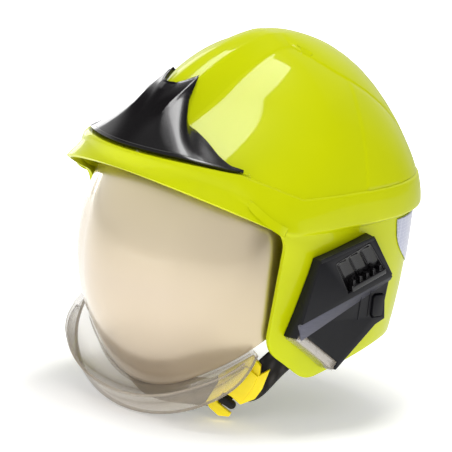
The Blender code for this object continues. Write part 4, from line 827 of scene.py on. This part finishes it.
def soften(mesh_data, radius, segments, angle):
    """Rounds the mesh's edges that are sharper than the angle."""
    limit = math.radians(angle)
    sharp = [edge for edge in mesh_data.edges if edge.is_manifold and edge.calc_face_angle(0) > limit]
    round_edges(mesh_data, sharp, radius, segments, clamp=True)


def dress_node(name, node, finish, body, slot, radius, segments, angle, sharp=30):
    """Places the CAD node's own shape, with its edges rounded and this finish."""
    made = node_copy(node)
    soften(made, radius, segments, angle)
    place(name, made, finish, body, slot, node, sharp=sharp)


# Spark-eroded nylon moulding: satin blue-black, a little worn to gloss on the high spots of its grain.
# The grain is drawn coarser than life, so that it shows
SATIN_BLACK, tree, shader, spot = new_finish("satin_black_nylon", Specular_IOR_Level=0.25)
grain = add_node(tree, "ShaderNodeTexNoise", {"Vector": spot, "Scale": 1 / (0.9 * MM), "Detail": 3})
patch = add_node(tree, "ShaderNodeTexNoise", {"Vector": spot, "Scale": 1 / (16 * MM), "Detail": 2})
tones = {0: patch.outputs["Fac"], 6: linear("#0D0D11"), 7: linear("#131319")}
tone = add_node(tree, "ShaderNodeMix", tones, data_type="RGBA")
tree.links.new(tone.outputs[2], shader.inputs["Base Color"])
gloss = add_node(tree, "ShaderNodeMapRange", {"Value": grain.outputs["Fac"], "To Min": 0.32, "To Max": 0.48})
tree.links.new(gloss.outputs["Result"], shader.inputs["Roughness"])
raised = add_node(tree, "ShaderNodeBump", {"Height": grain.outputs["Fac"], "Distance": 0.03 * MM})
tree.links.new(raised.outputs["Normal"], shader.inputs["Normal"])
# Zinc-plated steel: bright grey with turning rings from the lathe
PLATED_STEEL, tree, shader, spot = new_finish("zinc_plated_steel", Base_Color=linear("#B9BABD"), Metallic=1.0)
turning = {"Vector": spot, "Scale": 1 / (1.2 * MM), "Distortion": 0.4}
rings = add_node(tree, "ShaderNodeTexWave", turning, wave_type="RINGS", rings_direction="X")
gloss = add_node(tree, "ShaderNodeMapRange", {"Value": rings.outputs["Fac"], "To Min": 0.22, "To Max": 0.38})
tree.links.new(gloss.outputs["Result"], shader.inputs["Roughness"])
for word, _ in SIDES:
    for kind, body in (("ocular_arm", "ocular"), ("pivot_bush", "helmet"), ("pivot_spacer", "helmet")):
        node = f"{kind}_{word}"
        dress_node(f"moulded_{node}", node, SATIN_BLACK, body, "cover", 0.5 * MM, 2, 28)
    node = f"pivot_bolt_{word}"
    dress_node(f"plated_bolt_{word}", node, PLATED_STEEL, "helmet", "steel", 0.4 * MM, 2, 28)

# Impact liner: a cap of moulded polyurethane foam faced with black knit cloth, glued to the shell's back.
# Sewn channels divide its inner face into pads.
# Half the width, the reach to the front and rear, the rise above the ring and the drop below it
LINER_SIZES = (94.9 * MM, 115 * MM, 131.5 * MM, 90 * MM, 200 * MM)
LINER_RIM_LEVELS = (52 * MM, 36 * MM, 0)
LINER_THICK = 16 * MM
LINER_TOP = 0.985
INNER_END = 0.42
OUTER_START = 0.58
RIM_SWELL = 3 * MM
CHANNEL_DEPTH = 3 * MM
CHANNEL_PITCH = 45
CHANNEL_HALF = 3


def liner_point(turn, share, inset):
    """A point on the liner at this angle from straight ahead, from its rim up to its top."""
    half, front, rear, rise, drop = (size - inset for size in LINER_SIZES)
    angle = abs(turn)
    k = 0 if angle < 90 else 1
    rim_z = mix(LINER_RIM_LEVELS[k], LINER_RIM_LEVELS[k + 1], ease((angle - 90 * k) / 90))
    z = mix(rim_z, RING_LEVEL + rise, math.sin(math.pi / 2 * share))
    level = z - RING_LEVEL
    narrow = math.sqrt(max(0, 1 - (level / (rise if level > 0 else drop)) ** 2))
    depth = front if angle < 90 else rear
    turned = math.radians(turn)
    radius = narrow / math.hypot(math.sin(turned) / half, math.cos(turned) / depth)
    return Vector((radius * math.sin(turned), SHELL_MIDDLE_Y - radius * math.cos(turned), z))


bm = bmesh.new()
bmesh.ops.create_grid(bm, x_segments=120, y_segments=48, size=0.5)
for vert in bm.verts:
    turn = 360 * vert.co.x
    around = vert.co.y + 0.5
    if around < INNER_END:
        vert.co = liner_point(turn, LINER_TOP * (1 - around / INNER_END), LINER_THICK)
        off_channel = (turn + CHANNEL_PITCH / 2) % CHANNEL_PITCH - CHANNEL_PITCH / 2
        groove = math.exp(-(off_channel / CHANNEL_HALF) ** 2) * ease((INNER_END - around) / 0.1)
        centre = Vector((0, SHELL_MIDDLE_Y, 40 * MM))
        vert.co += (vert.co - centre).normalized() * CHANNEL_DEPTH * groove
    elif around < OUTER_START:
        rolled = (around - INNER_END) / (OUTER_START - INNER_END)
        swell = RIM_SWELL * (1 - math.sin(math.pi * rolled)) / 2
        vert.co = liner_point(turn, 0, LINER_THICK * (1 - rolled)) + Vector((0, 0, swell))
    else:
        vert.co = liner_point(turn, LINER_TOP * (around - OUTER_START) / (1 - OUTER_START), 0)


def close_pad(mesh_data):
    """Joins a rolled-up grid at its seam, closes its ends and faces it outwards."""
    bmesh.ops.remove_doubles(mesh_data, verts=mesh_data.verts, dist=MERGE)
    bmesh.ops.holes_fill(mesh_data, edges=[edge for edge in mesh_data.edges if edge.is_boundary], sides=0)
    bmesh.ops.recalc_face_normals(mesh_data, faces=mesh_data.faces)


close_pad(bm)
# Warp-knit lining cloth on foam: matt black with a soft sheen, its loops drawn coarser than life to show
KNIT_CLOTH, tree, shader, spot = new_finish(
    "black_knit_lining", Roughness=0.9, Sheen_Weight=0.3, Sheen_Roughness=0.5, Specular_IOR_Level=0.2
)
loops = add_node(tree, "ShaderNodeTexVoronoi", {"Vector": spot, "Scale": 1 / (1.6 * MM), "Randomness": 0.3})
tones = {0: loops.outputs["Distance"], 6: linear("#33323A"), 7: linear("#1A191D")}
tone = add_node(tree, "ShaderNodeMix", tones, data_type="RGBA")
tree.links.new(tone.outputs[2], shader.inputs["Base Color"])
relief = {"Height": loops.outputs["Distance"], "Distance": 0.25 * MM, "Strength": 0.6}
raised = add_node(tree, "ShaderNodeBump", relief)
tree.links.new(raised.outputs["Normal"], shader.inputs["Normal"])
liner = place("foam_liner", bm, KNIT_CLOTH, "helmet", "foam", "impact_liner", sharp=180)

# Head harness: a nylon headband with its nape cradle and ratchet, and a padded sweat band at the forehead.
# The band and cradle are moulded, and the ratchet housing is snapped to the cradle.
BAND_FRONT = 96 * MM
BAND_REAR = 106 * MM
BAND_HALF = 78.4 * MM
BAND_LOW = 25 * MM
BAND_TOP = 53 * MM
PAD_SPAN = 120
PAD_INSET = 2.4 * MM
PAD_CROWN = 2.6 * MM
PAD_MARGIN = 2.5 * MM
PAD_PUFF = 0.35 * MM
STITCH_DEPTH = 0.8 * MM
for node in ("headband", "nape_cradle", "ratchet_housing"):
    dress_node(f"moulded_{node}", node, SATIN_BLACK, "helmet", "harness", 0.7 * MM, 3, 40, sharp=50)
knob = "ratchet_knob"
dress_node(f"fluted_{knob}", knob, SATIN_BLACK, knob, "harness", 1.2 * MM, 3, 45, sharp=50)


def band_point(turn, z, inset):
    """A point inside the headband's oval."""
    turned = math.radians(turn)
    depth = BAND_FRONT if math.cos(turned) > 0 else BAND_REAR
    radius = 1 / math.hypot(math.sin(turned) / BAND_HALF, math.cos(turned) / depth) - inset
    return Vector((radius * math.sin(turned), SHELL_MIDDLE_Y - radius * math.cos(turned), z))


bm = bmesh.new()
bmesh.ops.create_grid(bm, x_segments=72, y_segments=32, size=0.5)
for vert in bm.verts:
    turn = PAD_SPAN * vert.co.x
    round_share = vert.co.y + 0.5
    across = 1 - abs(2 * round_share - 1)
    depth = PAD_INSET
    if round_share < 0.5:
        end = math.sqrt(max(0, 1 - (2 * vert.co.x) ** 6))
        crown = math.sqrt(math.sin(math.pi * mix(0.02, 0.98, across))) * end
        stitch = STITCH_DEPTH * math.exp(-(((abs(across - 0.5) - 0.34) / 0.05) ** 2))
        depth += PAD_CROWN * crown + PAD_PUFF * math.sin(turn * 0.9) * crown - stitch
    vert.co = band_point(turn, mix(BAND_LOW + PAD_MARGIN, BAND_TOP - PAD_MARGIN, across), depth)
close_pad(bm)
pad = place("padded_sweat_band", bm, KNIT_CLOTH, "helmet", "webbing", "sweat_pad", sharp=180)

# Crown straps: three flat polyester webbings that cross over the head and hold it off the liner.
# Each is sewn to the headband at both ends.
CROWN_WIDTH = 22 * MM
CROWN_THICK = 1.5 * MM
CROWN_RISE = 54 * MM
CROWN_STEPS = 8
STEPS_A_STRETCH = 14
SELVEDGE_DROP = 0.12
# Woven polyester webbing: matt black, with slanting ribs across its width and a tight selvedge
WEBBING, tree, shader, spot = new_finish(
    "woven_polyester_webbing", Roughness=0.8, Sheen_Weight=0.25, Specular_IOR_Level=0.25
)
cloth = add_node(tree, "ShaderNodeTexCoord", {}).outputs["UV"]
warp = {"Vector": cloth, "Scale": 1 / (20 * 1.4 * MM)}
warp = add_node(tree, "ShaderNodeTexWave", warp, bands_direction="Y").outputs["Fac"]
weft = {"Vector": cloth, "Scale": 1 / (20 * 1.1 * MM)}
weft = add_node(tree, "ShaderNodeTexWave", weft, bands_direction="DIAGONAL").outputs["Fac"]
weave = add_node(tree, "ShaderNodeMath", {0: warp, 1: weft}, operation="MULTIPLY").outputs["Value"]
tones = {0: weave, 6: linear("#1B191A"), 7: linear("#3A3738")}
tone = add_node(tree, "ShaderNodeMix", tones, data_type="RGBA")
tree.links.new(tone.outputs[2], shader.inputs["Base Color"])
raised = add_node(tree, "ShaderNodeBump", {"Height": weave, "Distance": 0.25 * MM, "Strength": 0.8})
tree.links.new(raised.outputs["Normal"], shader.inputs["Normal"])


def woven_strip(name, node, points, facing, width, thick):
    """A flat strap along a smooth path, faced outwards, with UVs in metres for its weave."""
    made = bmesh.new()
    uv = made.loops.layers.uv.new("UVMap")
    steps = STEPS_A_STRETCH * (len(points) - 1)
    path = [smooth_path(points, i / steps) for i in range(steps + 1)]
    runs = path_runs(path)
    bmesh.ops.create_grid(made, x_segments=steps, y_segments=8, size=0.5)
    for vert in made.verts:
        i = round((vert.co.x + 0.5) * steps)
        for loop in vert.link_loops:
            loop[uv].uv = (runs[i], (vert.co.y + 0.5) * width)
        run = path[min(i + 1, steps)] - path[max(i - 1, 0)]
        normal = facing(path[i])
        across = run.cross(normal).normalized() * width * vert.co.y
        drop = thick * SELVEDGE_DROP * (2 * abs(vert.co.y)) ** 6
        vert.co = path[i] + across - normal.normalized() * drop
    obj = place(name, made, WEBBING, "helmet", "webbing", node)
    give_wall(obj, thick).offset = 0


def crown_strap(word, middle_y, way, half, rise):
    """A strap over the head along this way of the plan, half an oval between the headband's two sides."""
    points = []
    for i in range(CROWN_STEPS + 1):
        turn = math.pi * i / CROWN_STEPS
        reach = half * math.cos(turn)
        points.append(Vector((way[0] * reach, middle_y + way[1] * reach, BAND_TOP + rise * math.sin(turn))))

    def facing(point):
        off = Vector((way[0] * point.x, way[1] * (point.y - middle_y))) / half**2
        return Vector((off.x, off.y, (point.z - BAND_TOP) / rise**2 + 1e-6))

    name = f"webbing_crown_{word}"
    woven_strip(name, f"crown_strap_{word}", points, facing, CROWN_WIDTH, CROWN_THICK)


for word, y in (("front", -48 * MM), ("rear", 34 * MM)):
    outer_y = y + math.copysign(CROWN_WIDTH / 2, y) - SHELL_MIDDLE_Y
    half = BAND_HALF * math.sqrt(1 - (outer_y / (BAND_FRONT if outer_y < 0 else BAND_REAR)) ** 2)
    crown_strap(word, y, (1, 0), half - 2.5 * MM, CROWN_RISE)
middle_y = SHELL_MIDDLE_Y + (BAND_REAR - BAND_FRONT) / 2
half = (BAND_FRONT + BAND_REAR) / 2 - 1 * MM
crown_strap("middle", middle_y, (0, 1), half, CROWN_RISE - 3.5 * MM)

# Side covers: satin black nylon mouldings screwed over the pivots. A toothed rack lies in a recess with three
# round channels, under a raised strip. A facet with a painted sheen slopes down to the plain lower panel with
# its two ribs, and the lamp's notch is cut along the lower front edge.
COVER_FACE = 129.97 * MM
COVER_STEP = 2.2 * MM
SLOPE_SINK = 0.4 * MM
RACK_DEPTH = 4.5 * MM
CHANNELS = 3
CHANNEL_WALL = 0.6 * MM
CHANNEL_CLEAR = 0.7 * MM
RIB_BELOW = 0.5 * MM
STRIP_SINK = 0.6 * MM
slope_ends = [((-63, -36), (6, -14)), ((46.2, -2), (0, -4))]
rack_corners = [Vector(corner) * MM for corner in ((-27, 16), (13, 31), (38, 3), (-7, -12))]
cover_strips = [((-46, 19.5), (17, 34.8), 3.4 * MM, 0.9 * MM, COVER_FACE)]
cover_strips += [((12, -14), (11, -38), 1.1 * MM, 0.5 * MM, COVER_FACE - COVER_STEP)]
cover_strips += [((23, -12), (22.5, -36), 1.1 * MM, 0.5 * MM, COVER_FACE - COVER_STEP)]


def prism(outline, low, high):
    """An outline in Y and Z raised along X from low to high."""
    made = bmesh.new()
    corners = [made.verts.new((low, *corner)) for corner in outline]
    bottom = made.faces.new(corners)
    made_top = bmesh.ops.extrude_face_region(made, geom=[bottom])["geom"]
    lifted = [item for item in made_top if isinstance(item, bmesh.types.BMVert)]
    bmesh.ops.translate(made, verts=lifted, vec=(high - low, 0, 0))
    bmesh.ops.recalc_face_normals(made, faces=made.faces)
    return made


def to_side(mesh_data, side):
    """Maps a piece modelled on the wearer's left to this side."""
    if side < 0:
        bmesh.ops.scale(mesh_data, vec=(-1, 1, 1), verts=mesh_data.verts)
        bmesh.ops.recalc_face_normals(mesh_data, faces=mesh_data.faces)


# Sloping facet nylon: fine hair lines along its length, and a painted sheen, a paler blue-grey that stands for
# the facet's satin gleam and fades towards the back. Its hair lines are drawn coarser than life, so that they
# show
SHEEN_PAINTED_NYLON, tree, shader, spot = new_finish(
    "blue_grey_nylon_with_painted_sheen", Roughness=0.45, Specular_IOR_Level=0.3
)
hairs = add_node(tree, "ShaderNodeMapping", {"Vector": spot, "Scale": (1, 0.04, 1)}).outputs["Vector"]
hairs = add_node(tree, "ShaderNodeTexNoise", {"Vector": hairs, "Scale": 1 / (0.5 * MM), "Detail": 2})
# Painted sheen: the colour fades dark towards the back
back = add_node(tree, "ShaderNodeSeparateXYZ", {"Vector": spot}).outputs["Y"]
back = add_node(tree, "ShaderNodeMapRange", {"Value": back, "From Min": -60 * MM, "From Max": 40 * MM})
tones = {0: hairs.outputs["Fac"], 6: linear("#484855"), 7: linear("#666674")}
tone = add_node(tree, "ShaderNodeMix", tones, data_type="RGBA").outputs[2]
tones = {0: back.outputs["Result"], 6: tone, 7: linear("#24242B")}
tone = add_node(tree, "ShaderNodeMix", tones, data_type="RGBA").outputs[2]
tree.links.new(tone, shader.inputs["Base Color"])
for word, side in SIDES:
    node = f"side_cover_{word}"
    dress_node(f"moulded_{node}", node, SATIN_BLACK, "helmet", "cover", 0.9 * MM, 3, 25, sharp=35)

    # Sloping facet between the cover's two levels, wide at the front and fine at the back
    bm = bmesh.new()
    corners = []
    under = COVER_FACE - COVER_STEP - SLOPE_SINK
    for brink, fall in slope_ends:
        brink, fall = Vector(brink) * MM, Vector(fall) * MM
        high = bm.verts.new((COVER_FACE - 0.15 * MM, *brink))
        low = bm.verts.new((COVER_FACE - COVER_STEP + 0.1 * MM, *(brink + fall)))
        deep = bm.verts.new((under, *(brink + Vector((0, 0.3 * MM)))))
        foot = bm.verts.new((under, *(brink + fall)))
        corners.append((high, low, foot, deep))
    for i in range(4):
        j = (i + 1) % 4
        bm.faces.new((corners[0][i], corners[0][j], corners[1][j], corners[1][i]))
    bm.faces.new(corners[0])
    bm.faces.new(corners[1])
    bmesh.ops.recalc_face_normals(bm, faces=bm.faces)
    soften(bm, 0.15 * MM, 2, 30)
    to_side(bm, side)
    # The facet is drawn in the nylon with the painted sheen
    place(f"cover_slope_{word}", bm, SHEEN_PAINTED_NYLON, "helmet", "cover")

    # Floor of the rack recess: three round channels with a narrow rib between each two
    bm = bmesh.new()
    bmesh.ops.create_grid(bm, x_segments=96, y_segments=40, size=0.5)
    for vert in bm.verts:
        along, fall = vert.co.x + 0.5, vert.co.y + 0.5
        top = mix(rack_corners[0], rack_corners[1], mix(0.01, 0.99, along))
        foot = mix(rack_corners[3], rack_corners[2], mix(0.01, 0.99, along))
        trough = abs(math.sin(CHANNELS * math.pi * along)) ** 0.7 * ease(fall / 0.16)
        depth = RIB_BELOW + (RACK_DEPTH - CHANNEL_CLEAR) * trough
        vert.co = (COVER_FACE - depth, *mix(top, foot, mix(0.01, 0.99, fall)))
    face_towards(bm, Vector((1, 0, 0)))
    to_side(bm, side)
    channels = place(f"rack_channels_{word}", bm, GLOSS_BLACK, "helmet", "cover", sharp=50)
    give_wall(channels, CHANNEL_WALL)

    # Raised strip along the cover's top edge, and two fine ribs on the panel beside the switch
    for number, (head, tail, width, rise, level) in enumerate(cover_strips):
        first, last = Vector(head) * MM, Vector(tail) * MM
        run = (last - first).normalized()
        across = Vector((-run.y, run.x)) * width / 2
        outline = (first - across, last - across, last + across, first + across)
        bm = prism(outline, level - STRIP_SINK, level + rise)
        soften(bm, 0.35 * MM, 3, 40)
        to_side(bm, side)
        place(f"cover_strip_{word}_{number}", bm, SATIN_BLACK, "helmet", "cover")

    node = f"mask_rack_{word}"
    dress_node(f"moulded_{node}", node, GLOSS_BLACK, "helmet", "cover", 0.7 * MM, 3, 30)

# Lamp: a clear polycarbonate lens snapped into each cover's notch, over a metallised reflector, and a grooved
# nylon switch pad in the lower panel that is pressed to turn it on.
# Metallised reflector: vacuum-coated aluminium on plastic, bright with a slight ripple
METALLISED, tree, shader, spot = new_finish(
    "metallised_reflector", Base_Color=linear("#D9DADC"), Metallic=1.0
)
ripple = {"Vector": spot, "Scale": 1 / (3 * MM)}
ripple = add_node(tree, "ShaderNodeTexVoronoi", ripple).outputs["Distance"]
gloss = add_node(tree, "ShaderNodeMapRange", {"Value": ripple, "To Min": 0.08, "To Max": 0.22})
tree.links.new(gloss.outputs["Result"], shader.inputs["Roughness"])
raised = add_node(tree, "ShaderNodeBump", {"Height": ripple, "Distance": 0.2 * MM, "Strength": 0.5})
tree.links.new(raised.outputs["Normal"], shader.inputs["Normal"])
for word, _ in SIDES:
    node = f"lamp_lens_{word}"
    dress_node(f"clear_{node}", node, CLEAR_PLASTIC, "helmet", "clear", 0.5 * MM, 3, 30)
    node = f"lamp_reflector_{word}"
    dress_node(f"bright_{node}", node, METALLISED, "helmet", "bright", 0.3 * MM, 2, 30)
    node = f"lamp_switch_{word}"
    dress_node(f"grooved_{node}", node, SATIN_BLACK, node, "cover", 0.5 * MM, 3, 30)

# Chin strap: polyester webbing from an anchor plate inside each cheek, joined under the wearer's left jaw by
# the buckle. The anchors are riveted inside the shell.
STRAP_WIDTH = 24 * MM
STRAP_THICK = 2 * MM
BUCKLE_CENTRE = Vector((72, -66, -98)) * MM
BUCKLE_TURN = math.radians(33 - 90)
buckle_place = Matrix.Translation(BUCKLE_CENTRE) @ Matrix.Rotation(BUCKLE_TURN, 4, "Z")
lap = -2.5 * MM - 2 * MM - STRAP_THICK / 2
start = shell_wall(82, -62 * MM, -SHELL_WALL - 3 * MM - 2 * MM - 1 * MM - STRAP_THICK / 2)
side_points = [start, Vector((97, -34, -70)) * MM, Vector((89, -44, -81)) * MM]
rear_end = [buckle_place @ Vector((lap, y * MM, z * MM)) for y, z in ((10, -4), (2, -8))]
front_end = [buckle_place @ Vector((lap, y * MM, z * MM)) for y, z in ((-12, -8), (-24, -15))]
chin_points = [(24.2, -88, -116), (0, -92, -118), (-24.2, -88, -116), (-60.5, -74, -106), (-84, -58, -94)]
far_side = [Vector((-point.x, point.y, point.z)) for point in side_points]


def strap_facing(point):
    """The way the chin strap faces: out from the wearer's jaw."""
    return Vector((0.41 * point.x, point.y + 20 * MM, 0))


left_points = side_points + rear_end
right_points = front_end + [Vector(point) * MM for point in chin_points] + far_side[::-1]
for word, points in (("left", left_points), ("right", right_points)):
    name, node = f"webbing_chin_{word}", f"chin_strap_{word}"
    woven_strip(name, node, points, strap_facing, STRAP_WIDTH, STRAP_THICK)
for word, _ in SIDES:
    node = f"strap_anchor_{word}"
    dress_node(f"moulded_{node}", node, SATIN_BLACK, "helmet", "harness", 0.6 * MM, 2, 40)

# Chin buckle: a moulded yellow nylon frame with a hook round a rubber-sleeved roller, and a lever that is
# hinged on the frame and opens outwards. It joins the two ends of the chin strap.
# Satin yellow nylon: saturated, slightly translucent, its moulded grain drawn coarser than life to show
YELLOW_NYLON, tree, shader, spot = new_finish(
    "satin_yellow_nylon", Subsurface_Weight=0.08, Subsurface_Scale=0.002, Specular_IOR_Level=0.45
)
patch = add_node(tree, "ShaderNodeTexNoise", {"Vector": spot, "Scale": 1 / (8 * MM), "Detail": 2})
tones = {0: patch.outputs["Fac"], 6: linear("#F7DC00"), 7: linear("#FFE800")}
tone = add_node(tree, "ShaderNodeMix", tones, data_type="RGBA")
tree.links.new(tone.outputs[2], shader.inputs["Base Color"])
grain = add_node(tree, "ShaderNodeTexNoise", {"Vector": spot, "Scale": 1 / (0.7 * MM), "Detail": 2})
gloss = add_node(tree, "ShaderNodeMapRange", {"Value": grain.outputs["Fac"], "To Min": 0.28, "To Max": 0.42})
tree.links.new(gloss.outputs["Result"], shader.inputs["Roughness"])
raised = add_node(tree, "ShaderNodeBump", {"Height": grain.outputs["Fac"], "Distance": 0.02 * MM})
tree.links.new(raised.outputs["Normal"], shader.inputs["Normal"])
# Rubber sleeve: matt black with a soft bloom
RUBBER, tree, shader, spot = new_finish(
    "matt_black_rubber", Base_Color=linear("#1C1B1C"), Specular_IOR_Level=0.3
)
bloom = add_node(tree, "ShaderNodeTexNoise", {"Vector": spot, "Scale": 1 / (4 * MM), "Detail": 3})
gloss = add_node(tree, "ShaderNodeMapRange", {"Value": bloom.outputs["Fac"], "To Min": 0.5, "To Max": 0.7})
tree.links.new(gloss.outputs["Result"], shader.inputs["Roughness"])
dress_node("yellow_buckle_frame", "buckle_frame", YELLOW_NYLON, "helmet", "yellow", 0.9 * MM, 3, 30)
lever = "buckle_lever"
dress_node(f"yellow_{lever}", lever, YELLOW_NYLON, lever, "yellow", 0.6 * MM, 3, 30)
dress_node("rubber_buckle_roller", "buckle_roller", RUBBER, "helmet", "rubber", 0.5 * MM, 2, 40, sharp=60)

# Studio: a pale floor that keeps the helmet's shadow and lights what faces down, and a white room with two
# dark flags that only mirrors show. An overhead strip, a large side softbox, a low fill and a rim panel
# light the helmet.
FLOOR_Z = cad_box[0][2] - 1 * MM
FLOOR_HALF = 6
bm = bmesh.new()
bmesh.ops.create_grid(bm, x_segments=1, y_segments=1, size=FLOOR_HALF)
bmesh.ops.translate(bm, verts=bm.verts, vec=(0, 0, FLOOR_Z))
mesh = bpy.data.meshes.new("floor")
bm.to_mesh(mesh)
bm.free()
floor = bpy.data.objects.new("floor", mesh)
bpy.context.scene.collection.objects.link(floor)
# White paper: matt, bright to the camera away from the helmet, dimmer in mirrors and through clear plastic
floor_paper, tree, shader, spot = new_finish(
    "white_paper_floor", Base_Color=linear("#F8F8F8"), Roughness=0.9, Emission_Color=linear("#FFFFFF")
)
mesh.materials.append(floor_paper)
ray = add_node(tree, "ShaderNodeLightPath", {})
reach = add_node(tree, "ShaderNodeVectorMath", {0: spot}, operation="LENGTH").outputs["Value"]
fade = {"Value": reach, "From Min": 0.2, "From Max": 0.9, "To Min": 0.3, "To Max": 1.0}
fade = add_node(tree, "ShaderNodeMapRange", fade).outputs["Result"]
direct = {0: ray.outputs["Is Camera Ray"], 1: fade}
glow = add_node(tree, "ShaderNodeMath", direct, operation="MULTIPLY").outputs["Value"]
for kind, strength in (("Is Transmission Ray", 0.6), ("Is Glossy Ray", 0.25), ("Is Diffuse Ray", 0.9)):
    seen = {0: ray.outputs[kind], 1: strength}
    seen = add_node(tree, "ShaderNodeMath", seen, operation="MULTIPLY").outputs["Value"]
    glow = add_node(tree, "ShaderNodeMath", {0: glow, 1: seen}, operation="MAXIMUM").outputs["Value"]
tree.links.new(glow, shader.inputs["Emission Strength"])

world = bpy.data.worlds.new("white_room")
bpy.context.scene.world = world
world.use_nodes = True
tree = world.node_tree
background = tree.nodes["Background"]
background.inputs["Color"].default_value = linear("#FFFFFF")
ray = add_node(tree, "ShaderNodeLightPath", {})
look = add_node(tree, "ShaderNodeTexCoord", {}).outputs["Generated"]
height = add_node(tree, "ShaderNodeSeparateXYZ", {"Vector": look}).outputs["Z"]
ceiling = {"Value": height, "From Min": 0.4, "From Max": 0.8, "To Min": 0.85, "To Max": 0.25}
room = add_node(tree, "ShaderNodeMapRange", ceiling).outputs["Result"]
for way, near, full, dim in (((-0.66, -0.1, 0.74), 0.92, 0.98, 0.1), ((0.7, 0.7, 0), 0.45, 0.8, 0.12)):
    toward = add_node(tree, "ShaderNodeVectorMath", {0: look, 1: way}, operation="DOT_PRODUCT").outputs["Value"]
    flag = {"Value": toward, "From Min": near, "From Max": full, "To Min": 1.0, "To Max": dim}
    flag = add_node(tree, "ShaderNodeMapRange", flag).outputs["Result"]
    room = add_node(tree, "ShaderNodeMath", {0: room, 1: flag}, operation="MULTIPLY").outputs["Value"]
glow = ray.outputs["Is Camera Ray"]
for kind, strength in (("Is Transmission Ray", 1.0), ("Is Glossy Ray", room), ("Is Diffuse Ray", 0.38)):
    seen = {0: ray.outputs[kind], 1: strength}
    seen = add_node(tree, "ShaderNodeMath", seen, operation="MULTIPLY").outputs["Value"]
    glow = add_node(tree, "ShaderNodeMath", {0: glow, 1: seen}, operation="MAXIMUM").outputs["Value"]
tree.links.new(glow, background.inputs["Strength"])

for name, spot_m, aim_m, size, turn, watts, mirrored_too in (
    ("overhead_strip", (0.06, 0.0, 1.6), (0.06, 0.0, 0), (0.34, 1.0), 24, 16, True),
    ("side_softbox", (1.3, -1.2, 1.1), (0, 0, 0), (1.0, 1.0), 0, 7.5, False),
    ("low_fill", (-0.2, -1.1, -0.05), (0, -0.1, 0.06), (1.2, 0.2), 0, 2, False),
    ("rim_panel", (-1.3, 0.5, 0.35), (0, -0.1, 0), (0.4, 1.4), 0, 6, True),
):
    lamp = bpy.data.lights.new(name, "AREA")
    lamp.shape = "RECTANGLE"
    lamp.size, lamp.size_y = size
    lamp.energy = watts
    lamp_object = bpy.data.objects.new(name, lamp)
    lamp_object.location = spot_m
    lamp_object.visible_glossy = mirrored_too
    facing = (Vector(aim_m) - Vector(spot_m)).to_track_quat("-Z", "Y").to_matrix()
    lamp_object.rotation_euler = (Matrix.Rotation(math.radians(turn), 3, "Z") @ facing).to_euler()
    bpy.context.scene.collection.objects.link(lamp_object)

# Camera: a long lens from the wearer's front left, a little above and rolled as in the photograph.
# It stands far off, as the solids were fitted to the photograph without perspective.
RIGHT = Vector((0.707, 0.6985, 0.1106)).normalized()
BACK = Vector((0.664, -0.709, 0.234)).normalized()
CAMERA_DISTANCE = 12.0
FRAME_WIDTH = 388.7 * MM
camera = bpy.data.cameras.new("camera")
camera.sensor_width = 36
camera.lens = camera.sensor_width * CAMERA_DISTANCE / FRAME_WIDTH
camera_object = bpy.data.objects.new("camera", camera)
up = BACK.cross(RIGHT).normalized()
turned = Matrix((BACK.cross(up) * -1, up, BACK)).transposed().to_4x4()
aim = Vector((-16.7, -11.9, 11.2)) * MM
camera_object.matrix_world = Matrix.Translation(aim + BACK * CAMERA_DISTANCE) @ turned
bpy.context.scene.collection.objects.link(camera_object)
bpy.context.scene.camera = camera_object
bpy.context.scene.view_settings.view_transform = "Standard"
